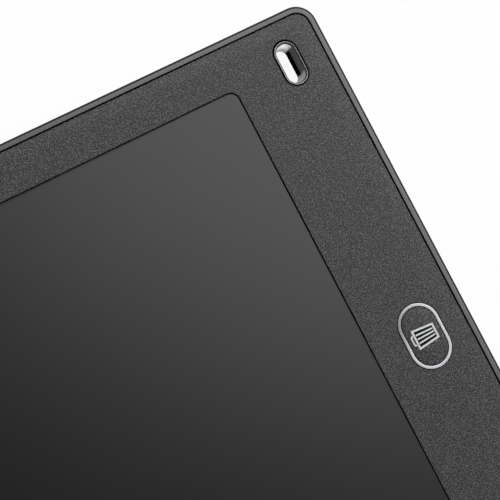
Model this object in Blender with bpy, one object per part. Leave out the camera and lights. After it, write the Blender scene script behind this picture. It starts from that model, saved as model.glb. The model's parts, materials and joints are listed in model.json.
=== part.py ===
"""Writing tablet with a liquid-crystal film, as an assembly of separate pieces.

Metres, +Z up. The tablet lies on its back with its face up. X runs across it,
Y runs from the edge with the erase button to the edge that stores the stylus,
and Z comes out of the face. The origin is in the middle of the rear face.
"""
import math

import bmesh
import bpy
from mathutils import Vector

MM = 0.001

# Case
CASE_WIDTH = 145 * MM
CASE_LENGTH = 225 * MM
CASE_THICKNESS = 6 * MM
CASE_CORNER_RADIUS = 4.4 * MM
RIM_WIDTH = 1.35 * MM
RIM_EDGE_ROUND = 0.5 * MM
REAR_EDGE_ROUND = 1.0 * MM
FLOOR_THICKNESS = 1.0 * MM
SHELF_WIDTH = 1.0 * MM
RIB_THICKNESS = 1.2 * MM

# Clearances
SIDE_GAP = 0.3 * MM
SEAT_GAP = 0.15 * MM
CUT_OVERRUN = 2 * MM
JOIN_OVERLAP = 0.4 * MM
SLOT_OVERRUN = 0.2 * MM
WELD_DISTANCE = 0.0002 * MM

# Front panel
PANEL_THICKNESS = 1.6 * MM
PANEL_DROP = 0.15 * MM
PANEL_EDGE_ROUND = 0.12 * MM

# Writing film and what carries it
WINDOW_SIDE_MARGIN = 10.45 * MM
WINDOW_LOWER_MARGIN = 22.05 * MM
WINDOW_UPPER_MARGIN = 27.7 * MM
WINDOW_CORNER_RADIUS = 2.1 * MM
FILM_THICKNESS = 0.5 * MM
FILM_DROP = 0.1 * MM
TAPE_THICKNESS = 0.15 * MM
LEDGE_WIDTH = 2.0 * MM
TAIL_WIDTH = 6.0 * MM
TAIL_THICKNESS = 0.15 * MM
TAIL_ROOM_SHARE = 0.2
TAIL_PAD_LENGTH = 2.0 * MM
TAIL_NOTCH_DEPTH = 3.4 * MM
BACKER_RIB_COUNT_X = 3
BACKER_RIB_COUNT_Y = 4

# Erase button, its trim ring and its switch
BUTTON_FROM_LOWER_EDGE = 10.9 * MM
RING_LENGTH = 13.9 * MM
RING_WIDTH = 8.9 * MM
RING_WALL = 0.6 * MM
RING_HEIGHT = 0.9 * MM
RING_GAP = 0.2 * MM
RING_PROUD = 0.1 * MM
RING_ROUND = 0.12 * MM
BUTTON_CAP_THICKNESS = 0.9 * MM
BUTTON_WALL = 1.2 * MM
BUTTON_FLANGE_WIDTH = 1.0 * MM
BUTTON_FLANGE_THICKNESS = 0.5 * MM
BUTTON_EDGE_ROUND = 0.15 * MM
BUTTON_STEM_RADIUS = 1.2 * MM
BUTTON_TRAVEL = 0.4 * MM
SWITCH_LENGTH = 4.4 * MM
SWITCH_WIDTH = 3.6 * MM
SWITCH_HEIGHT = 0.9 * MM
SWITCH_FLOOR = 0.2 * MM
PLUNGER_RADIUS = 0.8 * MM

# Lanyard hole
EYELET_FROM_SIDE = 10.5 * MM
EYELET_FROM_LOWER_EDGE = 9.1 * MM
EYELET_LENGTH = 9.5 * MM
EYELET_WIDTH = 4.8 * MM
EYELET_WALL = 0.4 * MM
EYELET_REAR_WALL = 0.95 * MM
EYELET_SINK = 0.35 * MM
EYELET_FLANGE_WIDTH = 0.8 * MM
EYELET_FLANGE_THICKNESS = 0.45 * MM
EYELET_EDGE_ROUND = 0.15 * MM
EYELET_BOSS_WALL = 1.2 * MM

# Circuit board and what stands on it
BOARD_BAY_GAP = 1.9 * MM
BOARD_EYELET_GAP = 8.7 * MM
BOARD_LOWER_MARGIN = 3.4 * MM
BOARD_WIDTH = 16 * MM
BOARD_THICKNESS = 0.8 * MM
BOARD_CORNER_RADIUS = 1.0 * MM
BOARD_LIFT = 0.75 * MM
BOARD_SCREW_INSET = 2.6 * MM
BOARD_BOSS_RADIUS = 1.9 * MM
BOARD_SCREW_RADIUS = 0.7 * MM
BOARD_SCREW_HEAD_RADIUS = 1.4 * MM
BOARD_SCREW_HEAD_HEIGHT = 0.5 * MM
BOARD_SCREW_PILOT_FLOOR = 0.4 * MM
CHIP_SIZE = 4.0 * MM
CHIP_HEIGHT = 0.9 * MM
CHIP_CORNER_RADIUS = 0.2 * MM
INDUCTOR_SIZE = 3.0 * MM
INDUCTOR_HEIGHT = 1.1 * MM
INDUCTOR_CORNER_RADIUS = 0.6 * MM
CHIP_PART_LENGTH = 1.6 * MM
CHIP_PART_WIDTH = 0.8 * MM
CAPACITOR_HEIGHT = 0.8 * MM
RESISTOR_HEIGHT = 0.45 * MM
DIODE_LENGTH = 1.8 * MM
DIODE_WIDTH = 1.3 * MM
DIODE_HEIGHT = 0.9 * MM
CHIP_ROOM_SHARE = 0.6
RESISTOR_ROOM_SHARE = 0.05
INDUCTOR_ROOM_SHARE = 0.17
DIODE_ROOM_SHARE = 0.33
CAPACITOR_ROOM_SHARE = 0.45
CHIP_PART_PITCH = 2.0 * MM
CHIP_PART_COUNT = 4
COMPONENT_ROW = 4.2 * MM
CONNECTOR_LENGTH = 8.0 * MM
CONNECTOR_WIDTH = 3.4 * MM
CONNECTOR_HEIGHT = 1.0 * MM
CONNECTOR_INSET = 1.2 * MM

# Coin cell, its contacts and its door
CELL_RADIUS = 10 * MM
CELL_THICKNESS = 1.6 * MM
CELL_EDGE_ROUND = 0.25 * MM
CELL_FROM_SIDE = 22.3 * MM
CELL_FROM_LOWER_EDGE = 16.5 * MM
DOOR_MARGIN = 1.9 * MM
DOOR_SCREW_ZONE = 7.0 * MM
DOOR_CORNER_RADIUS = 2.5 * MM
BAY_WALL = 1.2 * MM
DOOR_SCREW_RADIUS = 0.85 * MM
DOOR_SCREW_HEAD_RADIUS = 1.6 * MM
DOOR_SCREW_HEAD_HEIGHT = 0.45 * MM
DOOR_SCREW_SINK = 0.1 * MM
DOOR_SCREW_LENGTH = 2.4 * MM
DOOR_BOSS_HEIGHT = 2.6 * MM
DOOR_GRIP_LENGTH = 9.0 * MM
DOOR_GRIP_WIDTH = 0.7 * MM
DOOR_GRIP_DEPTH = 0.3 * MM
DOOR_GRIP_COUNT = 3
DOOR_GRIP_PITCH = 1.5 * MM
CONTACT_THICKNESS = 0.2 * MM
CONTACT_WIDTH = 3.0 * MM
CONTACT_FOOT_LENGTH = 2.4 * MM
CONTACT_RAMP_LENGTH = 2.0 * MM
CONTACT_REACH = 9.0 * MM
NEGATIVE_CONTACT_OFFSET = 6.0 * MM

# Lock slider and its switch
LOCK_ROOM_SHARE = 0.66
LOCK_TRAVEL = 2.0 * MM
LOCK_KNOB_LENGTH = 5.0 * MM
LOCK_KNOB_WIDTH = 2.4 * MM
LOCK_KNOB_SINK = 0.15 * MM
LOCK_FLANGE_LENGTH = 11 * MM
LOCK_FLANGE_WIDTH = 6.6 * MM
LOCK_FLANGE_THICKNESS = 0.4 * MM
LOCK_RECESS_MARGIN = 1.8 * MM
LOCK_RECESS_DEPTH = 0.4 * MM
LOCK_UNDER_BOARD = 1.6 * MM
LOCK_POST_WIDTH = 1.2 * MM
LOCK_POST_DEPTH = 1.2 * MM
LOCK_GROOVE_WIDTH = 0.5 * MM
LOCK_GROOVE_DEPTH = 0.25 * MM
LOCK_GROOVE_COUNT = 3
ACTUATOR_WIDTH = 1.6 * MM
ACTUATOR_HEIGHT = 0.6 * MM
ACTUATOR_INSIDE = 1.6 * MM
SLIDE_SWITCH_LENGTH = 8.4 * MM
SLIDE_SWITCH_WIDTH = 3.8 * MM
SLIDE_SWITCH_HEIGHT = 1.3 * MM
SLIDE_SWITCH_INSET = 0.4 * MM
SLIDE_SWITCH_WALL = 0.2 * MM

# Stylus and its channel
STYLUS_LENGTH = 118 * MM
STYLUS_RADIUS = 2.1 * MM
STYLUS_FROM_UPPER_EDGE = 11.5 * MM
STYLUS_END_INSET = 0.3 * MM
STYLUS_TIP_LENGTH = 6.5 * MM
STYLUS_TIP_END_RADIUS = 0.6 * MM
STYLUS_TIP_NECK_RADIUS = 1.2 * MM
STYLUS_TIP_NECK_LENGTH = 3.0 * MM
STYLUS_CAP_LENGTH = 5.0 * MM
STYLUS_CAP_PLUG_LENGTH = 3.0 * MM
STYLUS_BARREL_WALL = 0.55 * MM
STYLUS_EDGE_ROUND = 0.3 * MM
CHANNEL_WALL = 1.2 * MM
CHANNEL_LIP = 0.85 * MM
CHANNEL_LIP_GRIP = 0.55 * MM

# Case screws
CASE_SCREW_RADIUS = 0.85 * MM
CASE_SCREW_HEAD_RADIUS = 1.6 * MM
CASE_SCREW_HEAD_HEIGHT = 0.5 * MM
CASE_SCREW_SINK = 0.2 * MM
CASE_SCREW_LENGTH = 3.2 * MM
CASE_SCREW_FROM_SIDE = 6.2 * MM
CASE_SCREW_END_MARGIN = 28 * MM
CASE_SCREW_ROW_COUNT = 3
CASE_POST_RADIUS = 2.3 * MM
CASE_PAD_HEIGHT = 0.8 * MM
SCREW_SOCKET_RADIUS = 0.6 * MM
SCREW_SOCKET_DEPTH = 0.25 * MM

# Facets
CORNER_STEPS = 10
ROUND_STEPS = 4
SMALL_CORNER_STEPS = 3
DISC_STEPS = 24
PIN_STEPS = 16
CELL_STEPS = 40
SHARP_ANGLE = math.radians(40)

# Heights and places worked out from the sizes above
PANEL_TOP = CASE_THICKNESS - PANEL_DROP
PANEL_BOTTOM = PANEL_TOP - PANEL_THICKNESS
SHELF_TOP = PANEL_BOTTOM - SEAT_GAP
FILM_TOP = PANEL_TOP - FILM_DROP
FILM_BOTTOM = FILM_TOP - FILM_THICKNESS
TAPE_TOP = FILM_BOTTOM - SEAT_GAP / 2
LEDGE_TOP = TAPE_TOP - TAPE_THICKNESS - SEAT_GAP / 2
BACKER_TOP = FILM_BOTTOM - SEAT_GAP
BOARD_BOTTOM = FLOOR_THICKNESS + BOARD_LIFT
BOARD_TOP = BOARD_BOTTOM + BOARD_THICKNESS
PART_BASE = BOARD_TOP + SEAT_GAP
CELL_BOTTOM = FLOOR_THICKNESS + SEAT_GAP
CELL_TOP = CELL_BOTTOM + CELL_THICKNESS
STYLUS_Z = FLOOR_THICKNESS + SEAT_GAP + STYLUS_RADIUS

HALF_WIDTH = CASE_WIDTH / 2
HALF_LENGTH = CASE_LENGTH / 2
WINDOW_WIDTH = CASE_WIDTH - 2 * WINDOW_SIDE_MARGIN
WINDOW_LOWER_Y = WINDOW_LOWER_MARGIN - HALF_LENGTH
WINDOW_LENGTH = CASE_LENGTH - WINDOW_LOWER_MARGIN - WINDOW_UPPER_MARGIN
WINDOW_Y = WINDOW_LOWER_Y + WINDOW_LENGTH / 2
BUTTON_Y = BUTTON_FROM_LOWER_EDGE - HALF_LENGTH
RING_TOP = PANEL_TOP + RING_PROUD
RING_BOTTOM = RING_TOP - RING_HEIGHT
BUTTON_LENGTH = RING_LENGTH - 2 * RING_WALL - 2 * SIDE_GAP
BUTTON_WIDTH = RING_WIDTH - 2 * RING_WALL - 2 * SIDE_GAP
FLANGE_TOP = PANEL_BOTTOM - SEAT_GAP
FLANGE_BOTTOM = FLANGE_TOP - BUTTON_FLANGE_THICKNESS
PLUNGER_TOP = FLANGE_TOP
EYELET_X = HALF_WIDTH - EYELET_FROM_SIDE
EYELET_Y = EYELET_FROM_LOWER_EDGE - HALF_LENGTH
EYELET_TOP = PANEL_TOP - EYELET_SINK
CELL_X = CELL_FROM_SIDE - HALF_WIDTH
DOOR_WIDTH = 2 * (CELL_RADIUS + DOOR_MARGIN)
DOOR_LENGTH = DOOR_WIDTH + DOOR_SCREW_ZONE
BOARD_LEFT_X = CELL_X + DOOR_WIDTH / 2 + SIDE_GAP + BAY_WALL + BOARD_BAY_GAP
BOARD_RIGHT_X = EYELET_X - EYELET_LENGTH / 2 - SIDE_GAP - EYELET_BOSS_WALL - BOARD_EYELET_GAP
BOARD_LENGTH = BOARD_RIGHT_X - BOARD_LEFT_X
BOARD_X = (BOARD_RIGHT_X + BOARD_LEFT_X) / 2
BUTTON_ROOM = BUTTON_LENGTH / 2 + BUTTON_FLANGE_WIDTH + SIDE_GAP
LEFT_ROOM_START = BOARD_LEFT_X + 2 * BOARD_SCREW_INSET
LEFT_ROOM = -BUTTON_ROOM - LEFT_ROOM_START
RIGHT_ROOM = BOARD_RIGHT_X - 2 * BOARD_SCREW_INSET - BUTTON_ROOM
CHIP_X = LEFT_ROOM_START + CHIP_ROOM_SHARE * LEFT_ROOM
RESISTOR_X = LEFT_ROOM_START + RESISTOR_ROOM_SHARE * LEFT_ROOM
TAIL_X = BUTTON_ROOM + TAIL_ROOM_SHARE * RIGHT_ROOM
INDUCTOR_X = BUTTON_ROOM + INDUCTOR_ROOM_SHARE * RIGHT_ROOM
DIODE_X = BUTTON_ROOM + DIODE_ROOM_SHARE * RIGHT_ROOM
CAPACITOR_X = BUTTON_ROOM + CAPACITOR_ROOM_SHARE * RIGHT_ROOM
LOCK_X = BUTTON_ROOM + LOCK_ROOM_SHARE * RIGHT_ROOM
BOARD_LOWER_Y = BOARD_LOWER_MARGIN - HALF_LENGTH
BOARD_UPPER_Y = BOARD_LOWER_Y + BOARD_WIDTH
BOARD_Y = (BOARD_LOWER_Y + BOARD_UPPER_Y) / 2
CELL_Y = CELL_FROM_LOWER_EDGE - HALF_LENGTH
DOOR_Y = CELL_Y + DOOR_SCREW_ZONE / 2
DOOR_SCREW_Y = CELL_Y + CELL_RADIUS + DOOR_MARGIN + DOOR_SCREW_ZONE / 2
ACTUATOR_BASE = PART_BASE + SLIDE_SWITCH_WALL + SEAT_GAP
LOCK_REST_X = LOCK_X - LOCK_TRAVEL / 2
LOCK_FLANGE_Y = BOARD_UPPER_Y - LOCK_UNDER_BOARD + LOCK_FLANGE_WIDTH / 2
LOCK_POST_Y = BOARD_UPPER_Y + SIDE_GAP + LOCK_POST_DEPTH / 2
STYLUS_Y = HALF_LENGTH - STYLUS_FROM_UPPER_EDGE
STYLUS_END_X = HALF_WIDTH - STYLUS_END_INSET
CHANNEL_HALF_WIDTH = STYLUS_RADIUS + SIDE_GAP
CHANNEL_END_X = STYLUS_END_X - STYLUS_LENGTH - SIDE_GAP

# Finishes as a colour (red, green, blue) in linear light, a roughness and a metallic share
SATIN_SHELL = ((0.105, 0.105, 0.108), 0.38, 0.0)
TEXTURED_PANEL = ((0.072, 0.072, 0.074), 0.55, 0.0)
FILM_SURFACE = ((0.055, 0.056, 0.058), 0.22, 0.0)
SILVER_TRIM = ((0.62, 0.62, 0.63), 0.25, 1.0)
PLAIN_STEEL = ((0.42, 0.42, 0.43), 0.35, 1.0)
BLACK_PLASTIC = ((0.018, 0.018, 0.019), 0.45, 0.0)
TAPE = ((0.012, 0.012, 0.012), 0.7, 0.0)
FLEX_LEAD = ((0.42, 0.17, 0.04), 0.4, 0.0)
CONTACT_GOLD = ((0.55, 0.40, 0.14), 0.3, 1.0)
BOARD_LAMINATE = ((0.02, 0.12, 0.05), 0.45, 0.0)
CERAMIC = ((0.40, 0.29, 0.18), 0.5, 0.0)


def clear_scene():
    """Remove what the scene holds, so that only the model is left."""
    for thing in list(bpy.data.objects):
        bpy.data.objects.remove(thing, do_unlink=True)


def make_material(name, finish):
    """Return a Principled material with one colour."""
    colour, roughness, metallic = finish
    material = bpy.data.materials.get(name) or bpy.data.materials.new(name)
    material.use_nodes = True
    shader = material.node_tree.nodes["Principled BSDF"]
    shader.inputs["Base Color"].default_value = (*colour, 1.0)
    shader.inputs["Roughness"].default_value = roughness
    shader.inputs["Metallic"].default_value = metallic
    material.diffuse_color = (*colour, 1.0)
    return material


def rounded_outline(length, width, radius, inset=0.0, steps=CORNER_STEPS):
    """Return the points of a rectangle with round corners, drawn in by inset."""
    half_x = length / 2 - inset
    half_y = width / 2 - inset
    corner = min(max(radius - inset, 0.0), half_x, half_y)
    points = []
    for quarter in range(4):
        sign_x = 1 if quarter in (0, 3) else -1
        sign_y = 1 if quarter in (0, 1) else -1
        for step in range(steps + 1):
            angle = (quarter + step / steps) * math.pi / 2
            x = sign_x * (half_x - corner) + corner * math.cos(angle)
            y = sign_y * (half_y - corner) + corner * math.sin(angle)
            points.append((x, y))
    return points


def circle_outline(radius, steps=DISC_STEPS):
    """Return the points of a circle."""
    turns = [2 * math.pi * step / steps for step in range(steps)]
    return [(radius * math.cos(turn), radius * math.sin(turn)) for turn in turns]


def rounding(radius, steps=ROUND_STEPS):
    """Return (inset, drop) pairs from the side of a rounded edge to its top."""
    angles = [math.pi / 2 * step / steps for step in range(steps + 1)]
    return [(radius * (1 - math.cos(a)), radius * (1 - math.sin(a))) for a in angles]


def finish_mesh(name, mesh_data, place, material):
    """Weld, orient and place a mesh as a named object."""
    bmesh.ops.remove_doubles(mesh_data, verts=mesh_data.verts, dist=WELD_DISTANCE)
    bmesh.ops.recalc_face_normals(mesh_data, faces=mesh_data.faces)
    mesh = bpy.data.meshes.new(name)
    mesh_data.to_mesh(mesh)
    mesh_data.free()
    mesh.shade_smooth()
    mesh.set_sharp_from_angle(angle=SHARP_ANGLE)
    thing = bpy.data.objects.new(name, mesh)
    thing.location = place
    bpy.context.scene.collection.objects.link(thing)
    if material is None:
        thing.hide_render = True
        thing.display_type = "WIRE"
    else:
        mesh.materials.append(material)
    return thing


def loft(name, rings, place, material=None):
    """Skin a stack of outlines, each a (points, height) pair, and cap both ends."""
    mesh_data = bmesh.new()
    rows = [[mesh_data.verts.new((x, y, z)) for x, y in points] for points, z in rings]
    count = len(rows[0])
    for lower, upper in zip(rows, rows[1:]):
        for i in range(count):
            j = (i + 1) % count
            mesh_data.faces.new((lower[i], lower[j], upper[j], upper[i]))
    mesh_data.faces.new(rows[0][::-1])
    mesh_data.faces.new(rows[-1])
    return finish_mesh(name, mesh_data, place, material)


def prism(name, outline, low, high, place, material=None):
    """Raise an outline between two heights above the place."""
    return loft(name, [(outline, low), (outline, high)], place, material)


def box(name, low, high, material=None):
    """Return a block between two corners."""
    length, width, height = (b - a for a, b in zip(low, high))
    middle = ((low[0] + high[0]) / 2, (low[1] + high[1]) / 2, low[2])
    outline = [(length / 2, width / 2), (-length / 2, width / 2),
               (-length / 2, -width / 2), (length / 2, -width / 2)]
    return prism(name, outline, 0, height, middle, material)


def turned(name, profile, place, material=None, steps=DISC_STEPS):
    """Turn a profile of (radius, distance) points about the X axis."""
    mesh_data = bmesh.new()
    rows = []
    for radius, along in profile:
        rows.append([mesh_data.verts.new((along, radius * math.cos(2 * math.pi * k / steps),
                                          radius * math.sin(2 * math.pi * k / steps)))
                     for k in range(steps)])
    for lower, upper in zip(rows, rows[1:]):
        for i in range(steps):
            j = (i + 1) % steps
            mesh_data.faces.new((lower[i], lower[j], upper[j], upper[i]))
    mesh_data.faces.new(rows[0][::-1])
    mesh_data.faces.new(rows[-1])
    return finish_mesh(name, mesh_data, place, material)


def ribbon(name, path, thickness, across, width, place, material):
    """Bend a strip along a path of (distance, height) points, with mitred corners.

    across is "x" or "y": the axis that the strip's width lies along.
    """
    points = [Vector(point) for point in path]
    sides = []
    for i, point in enumerate(points):
        before = (point - points[i - 1]).normalized() if i else None
        after = (points[i + 1] - point).normalized() if i + 1 < len(points) else None
        tangent = ((before or after) + (after or before)).normalized()
        normal = Vector((-tangent.y, tangent.x))
        lean = normal.dot(Vector((-(after or before).y, (after or before).x)))
        offset = normal * thickness / 2 / lean
        sides.append((point + offset, point - offset))
    outline = [upper for upper, _ in sides] + [lower for _, lower in reversed(sides)]
    mesh_data = bmesh.new()
    rows = []
    for reach in (-width / 2, width / 2):
        if across == "x":
            rows.append([mesh_data.verts.new((reach, p.x, p.y)) for p in outline])
        else:
            rows.append([mesh_data.verts.new((p.x, reach, p.y)) for p in outline])
    count = len(outline)
    for i in range(count):
        j = (i + 1) % count
        mesh_data.faces.new((rows[0][i], rows[0][j], rows[1][j], rows[1][i]))
    mesh_data.faces.new(rows[0][::-1])
    mesh_data.faces.new(rows[1])
    return finish_mesh(name, mesh_data, place, material)


def combine(target, tool, operation):
    """Cut a tool out of the target, or join it on, with a live Boolean."""
    modifier = target.modifiers.new(tool.name, "BOOLEAN")
    modifier.operation = operation
    modifier.solver = "EXACT"
    modifier.object = tool


def flared(name, outline_at, low, top, flare, place):
    """Return a cutter with straight walls whose last stretch below the top opens out at 45 degrees.

    outline_at gives the outline drawn in by an inset, so a negative inset grows it.
    """
    rings = [(outline_at(0), low), (outline_at(0), top - flare), (outline_at(-flare), top),
             (outline_at(-flare - CUT_OVERRUN), top + CUT_OVERRUN)]
    return loft(name, rings, place)


def cut(target, tool):
    """Cut a tool out of the target."""
    combine(target, tool, "DIFFERENCE")


def join(target, tool):
    """Join a tool to the target."""
    combine(target, tool, "UNION")


def joint_frame(name, place, pieces):
    """Parent the pieces of a moving body to an empty on its joint's axis."""
    empty = bpy.data.objects.new(name, None)
    empty.location = place
    bpy.context.scene.collection.objects.link(empty)
    for piece in pieces:
        piece.parent = empty
        piece.location = Vector(piece.location) - Vector(place)


def obround(length, width, inset=0.0):
    """Return the outline of a slot with round ends."""
    return rounded_outline(length, width, width / 2, inset)


def stepped_hole(name, lower_radius, step, upper_radius, top, place):
    """Return the cutter of a hole that is wide up to a step and narrower above it."""
    wide = circle_outline(lower_radius, PIN_STEPS)
    narrow = circle_outline(upper_radius, PIN_STEPS)
    return loft(name, [(wide, -CUT_OVERRUN), (wide, step), (narrow, step), (narrow, top)], place)


def screw(name, shank_radius, length, head_radius, head_height, place, material, head_up):
    """Return a pan-head screw with a round drive socket, head at the place."""
    way = 1 if head_up else -1
    shank = circle_outline(shank_radius, PIN_STEPS)
    head = circle_outline(head_radius, PIN_STEPS)
    socket = circle_outline(SCREW_SOCKET_RADIUS, PIN_STEPS)
    rings = [(shank, -way * length), (shank, 0), (head, 0), (head, way * head_height),
             (socket, way * head_height), (socket, way * (head_height - SCREW_SOCKET_DEPTH))]
    return loft(name, rings, place, material)


def build_rear_shell(material):
    """Build the tray: floor, rounded walls, the panel's shelf and all that stands in it."""
    def ring(inset, height):
        return (rounded_outline(CASE_WIDTH, CASE_LENGTH, CASE_CORNER_RADIUS, inset), height)

    rings = [ring(inset, drop) for inset, drop in reversed(rounding(REAR_EDGE_ROUND))]
    rings += [ring(inset, CASE_THICKNESS - drop) for inset, drop in rounding(RIM_EDGE_ROUND)]
    rings += [ring(RIM_WIDTH, CASE_THICKNESS), ring(RIM_WIDTH, SHELF_TOP)]
    rings += [ring(RIM_WIDTH + SHELF_WIDTH, SHELF_TOP)]
    rings += [ring(RIM_WIDTH + SHELF_WIDTH, FLOOR_THICKNESS)]
    shell = loft("rear_shell", rings, (0, 0, 0), material)
    add_backer_ribs(shell)
    add_channel(shell)
    add_case_pads(shell)
    add_board_bosses(shell)
    add_eyelet_boss(shell)
    add_battery_bay(shell)
    cut_lock_slot(shell)
    return shell


def add_backer_ribs(shell):
    """Join the crossed ribs that hold up the plate behind the film."""
    low_y = DOOR_Y + DOOR_LENGTH / 2 + BAY_WALL + 2 * SIDE_GAP
    high_y = WINDOW_Y + WINDOW_LENGTH / 2 - LEDGE_WIDTH - 2 * SIDE_GAP
    half_x = WINDOW_WIDTH / 2 - LEDGE_WIDTH - 2 * SIDE_GAP
    base = FLOOR_THICKNESS - JOIN_OVERLAP
    top = PANEL_BOTTOM - SEAT_GAP
    for k in range(BACKER_RIB_COUNT_X):
        x = half_x * (2 * k / (BACKER_RIB_COUNT_X - 1) - 1) * (1 - RIB_THICKNESS / half_x)
        join(shell, box(f"rib_along_{k}", (x - RIB_THICKNESS / 2, low_y, base),
                        (x + RIB_THICKNESS / 2, high_y, top)))
    for k in range(BACKER_RIB_COUNT_Y):
        y = low_y + RIB_THICKNESS + (high_y - low_y - 2 * RIB_THICKNESS) * k / (BACKER_RIB_COUNT_Y - 1)
        join(shell, box(f"rib_across_{k}", (-half_x, y - RIB_THICKNESS / 2, base),
                        (half_x, y + RIB_THICKNESS / 2, top - SEAT_GAP)))


def add_channel(shell):
    """Join the channel that stores the stylus, open through the right wall."""
    base = FLOOR_THICKNESS - JOIN_OVERLAP
    outside = CHANNEL_HALF_WIDTH + CHANNEL_WALL
    right = HALF_WIDTH - RIM_WIDTH - SHELF_WIDTH + JOIN_OVERLAP
    left = CHANNEL_END_X - CHANNEL_WALL
    join(shell, box("channel_block", (left, STYLUS_Y - outside, base),
                    (right, STYLUS_Y + outside, SHELF_TOP)))
    cut(shell, box("channel_hollow", (CHANNEL_END_X, STYLUS_Y - CHANNEL_HALF_WIDTH, FLOOR_THICKNESS),
                   (HALF_WIDTH + CUT_OVERRUN, STYLUS_Y + CHANNEL_HALF_WIDTH,
                    CASE_THICKNESS + CUT_OVERRUN)))


def case_screw_places():
    """Return the (x, y) of each screw that holds the panel."""
    x = HALF_WIDTH - CASE_SCREW_FROM_SIDE
    low_y = CASE_SCREW_END_MARGIN - HALF_LENGTH
    step = -2 * low_y / (CASE_SCREW_ROW_COUNT - 1)
    return [(side * x, low_y + row * step) for row in range(CASE_SCREW_ROW_COUNT) for side in (-1, 1)]


def add_case_pads(shell):
    """Join a pad at each case screw and cut its stepped hole."""
    head_top = CASE_SCREW_SINK + CASE_SCREW_HEAD_HEIGHT + SEAT_GAP
    pad_top = FLOOR_THICKNESS + CASE_PAD_HEIGHT
    for k, (x, y) in enumerate(case_screw_places()):
        join(shell, prism(f"case_pad_{k}", circle_outline(CASE_POST_RADIUS), FLOOR_THICKNESS - JOIN_OVERLAP,
                          pad_top, (x, y, 0)))
        cut(shell, stepped_hole(f"case_hole_{k}", CASE_SCREW_HEAD_RADIUS + SIDE_GAP, head_top,
                                CASE_SCREW_RADIUS + SIDE_GAP, pad_top + CUT_OVERRUN, (x, y, 0)))


def board_screw_places():
    """Return the (x, y) of each screw that holds the circuit board."""
    left = BOARD_LEFT_X + BOARD_SCREW_INSET
    right = BOARD_RIGHT_X - BOARD_SCREW_INSET
    low = BOARD_LOWER_Y + BOARD_SCREW_INSET
    high = BOARD_UPPER_Y - BOARD_SCREW_INSET
    return [(left, low), (right, low), (right, high)]


def add_board_bosses(shell):
    """Join a boss with a blind hole under each board screw."""
    for k, (x, y) in enumerate(board_screw_places()):
        join(shell, prism(f"board_boss_{k}", circle_outline(BOARD_BOSS_RADIUS, PIN_STEPS),
                          FLOOR_THICKNESS - JOIN_OVERLAP, BOARD_BOTTOM - SEAT_GAP, (x, y, 0)))
        cut(shell, prism(f"board_pilot_{k}", circle_outline(BOARD_SCREW_RADIUS + SIDE_GAP, PIN_STEPS),
                         BOARD_SCREW_PILOT_FLOOR, BOARD_BOTTOM + CUT_OVERRUN, (x, y, 0)))


def add_eyelet_boss(shell):
    """Join the wall around the lanyard hole and cut the stepped slot."""
    hole_length = EYELET_LENGTH + 2 * SIDE_GAP
    hole_width = EYELET_WIDTH + 2 * SIDE_GAP
    place = (EYELET_X, EYELET_Y, 0)
    wall = 2 * EYELET_BOSS_WALL
    join(shell, prism("eyelet_boss", obround(hole_length + wall, hole_width + wall),
                      FLOOR_THICKNESS - JOIN_OVERLAP, SHELF_TOP, place))
    flange = 2 * EYELET_FLANGE_WIDTH
    sink = obround(hole_length + flange, hole_width + flange)
    sink_top = EYELET_FLANGE_THICKNESS + 2 * SEAT_GAP
    slot = obround(hole_length, hole_width)
    cut(shell, loft("eyelet_slot", [(sink, -CUT_OVERRUN), (sink, sink_top), (slot, sink_top),
                                    (slot, CASE_THICKNESS)], place))


def add_battery_bay(shell):
    """Join the frame around the coin cell, and cut its pocket and the door's recess."""
    door_place = (CELL_X, DOOR_Y, 0)
    cell_place = (CELL_X, CELL_Y, 0)
    frame_length = DOOR_WIDTH + 2 * (SIDE_GAP + BAY_WALL)
    frame_width = DOOR_LENGTH + 2 * (SIDE_GAP + BAY_WALL)
    join(shell, prism("bay_frame", rounded_outline(frame_length, frame_width,
                                                   DOOR_CORNER_RADIUS + SIDE_GAP + BAY_WALL),
                      FLOOR_THICKNESS - JOIN_OVERLAP, CELL_TOP - SEAT_GAP, door_place))
    join(shell, prism("door_boss", circle_outline(DOOR_SCREW_RADIUS + SIDE_GAP + BAY_WALL),
                      FLOOR_THICKNESS, FLOOR_THICKNESS + DOOR_BOSS_HEIGHT,
                      (CELL_X, DOOR_SCREW_Y, 0)))
    cut(shell, prism("door_recess", rounded_outline(DOOR_WIDTH + 2 * SIDE_GAP, DOOR_LENGTH + 2 * SIDE_GAP,
                                                    DOOR_CORNER_RADIUS + SIDE_GAP),
                     -CUT_OVERRUN, FLOOR_THICKNESS + SEAT_GAP, door_place))
    cut(shell, prism("cell_pocket", circle_outline(CELL_RADIUS + SIDE_GAP, CELL_STEPS), 0,
                     CELL_TOP + CUT_OVERRUN, cell_place))
    notch_x = CELL_X + CELL_RADIUS
    cut(shell, box("contact_notch", (notch_x - CONTACT_WIDTH, CELL_Y - CONTACT_WIDTH / 2 - SIDE_GAP, 0),
                   (notch_x + CONTACT_THICKNESS + 2 * SIDE_GAP, CELL_Y + CONTACT_WIDTH / 2 + SIDE_GAP,
                    CELL_TOP + CUT_OVERRUN)))
    cut(shell, prism("door_screw_hole", circle_outline(DOOR_SCREW_RADIUS + SIDE_GAP, PIN_STEPS), 0,
                     FLOOR_THICKNESS + DOOR_BOSS_HEIGHT - BAY_WALL / 2, (CELL_X, DOOR_SCREW_Y, 0)))


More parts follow.
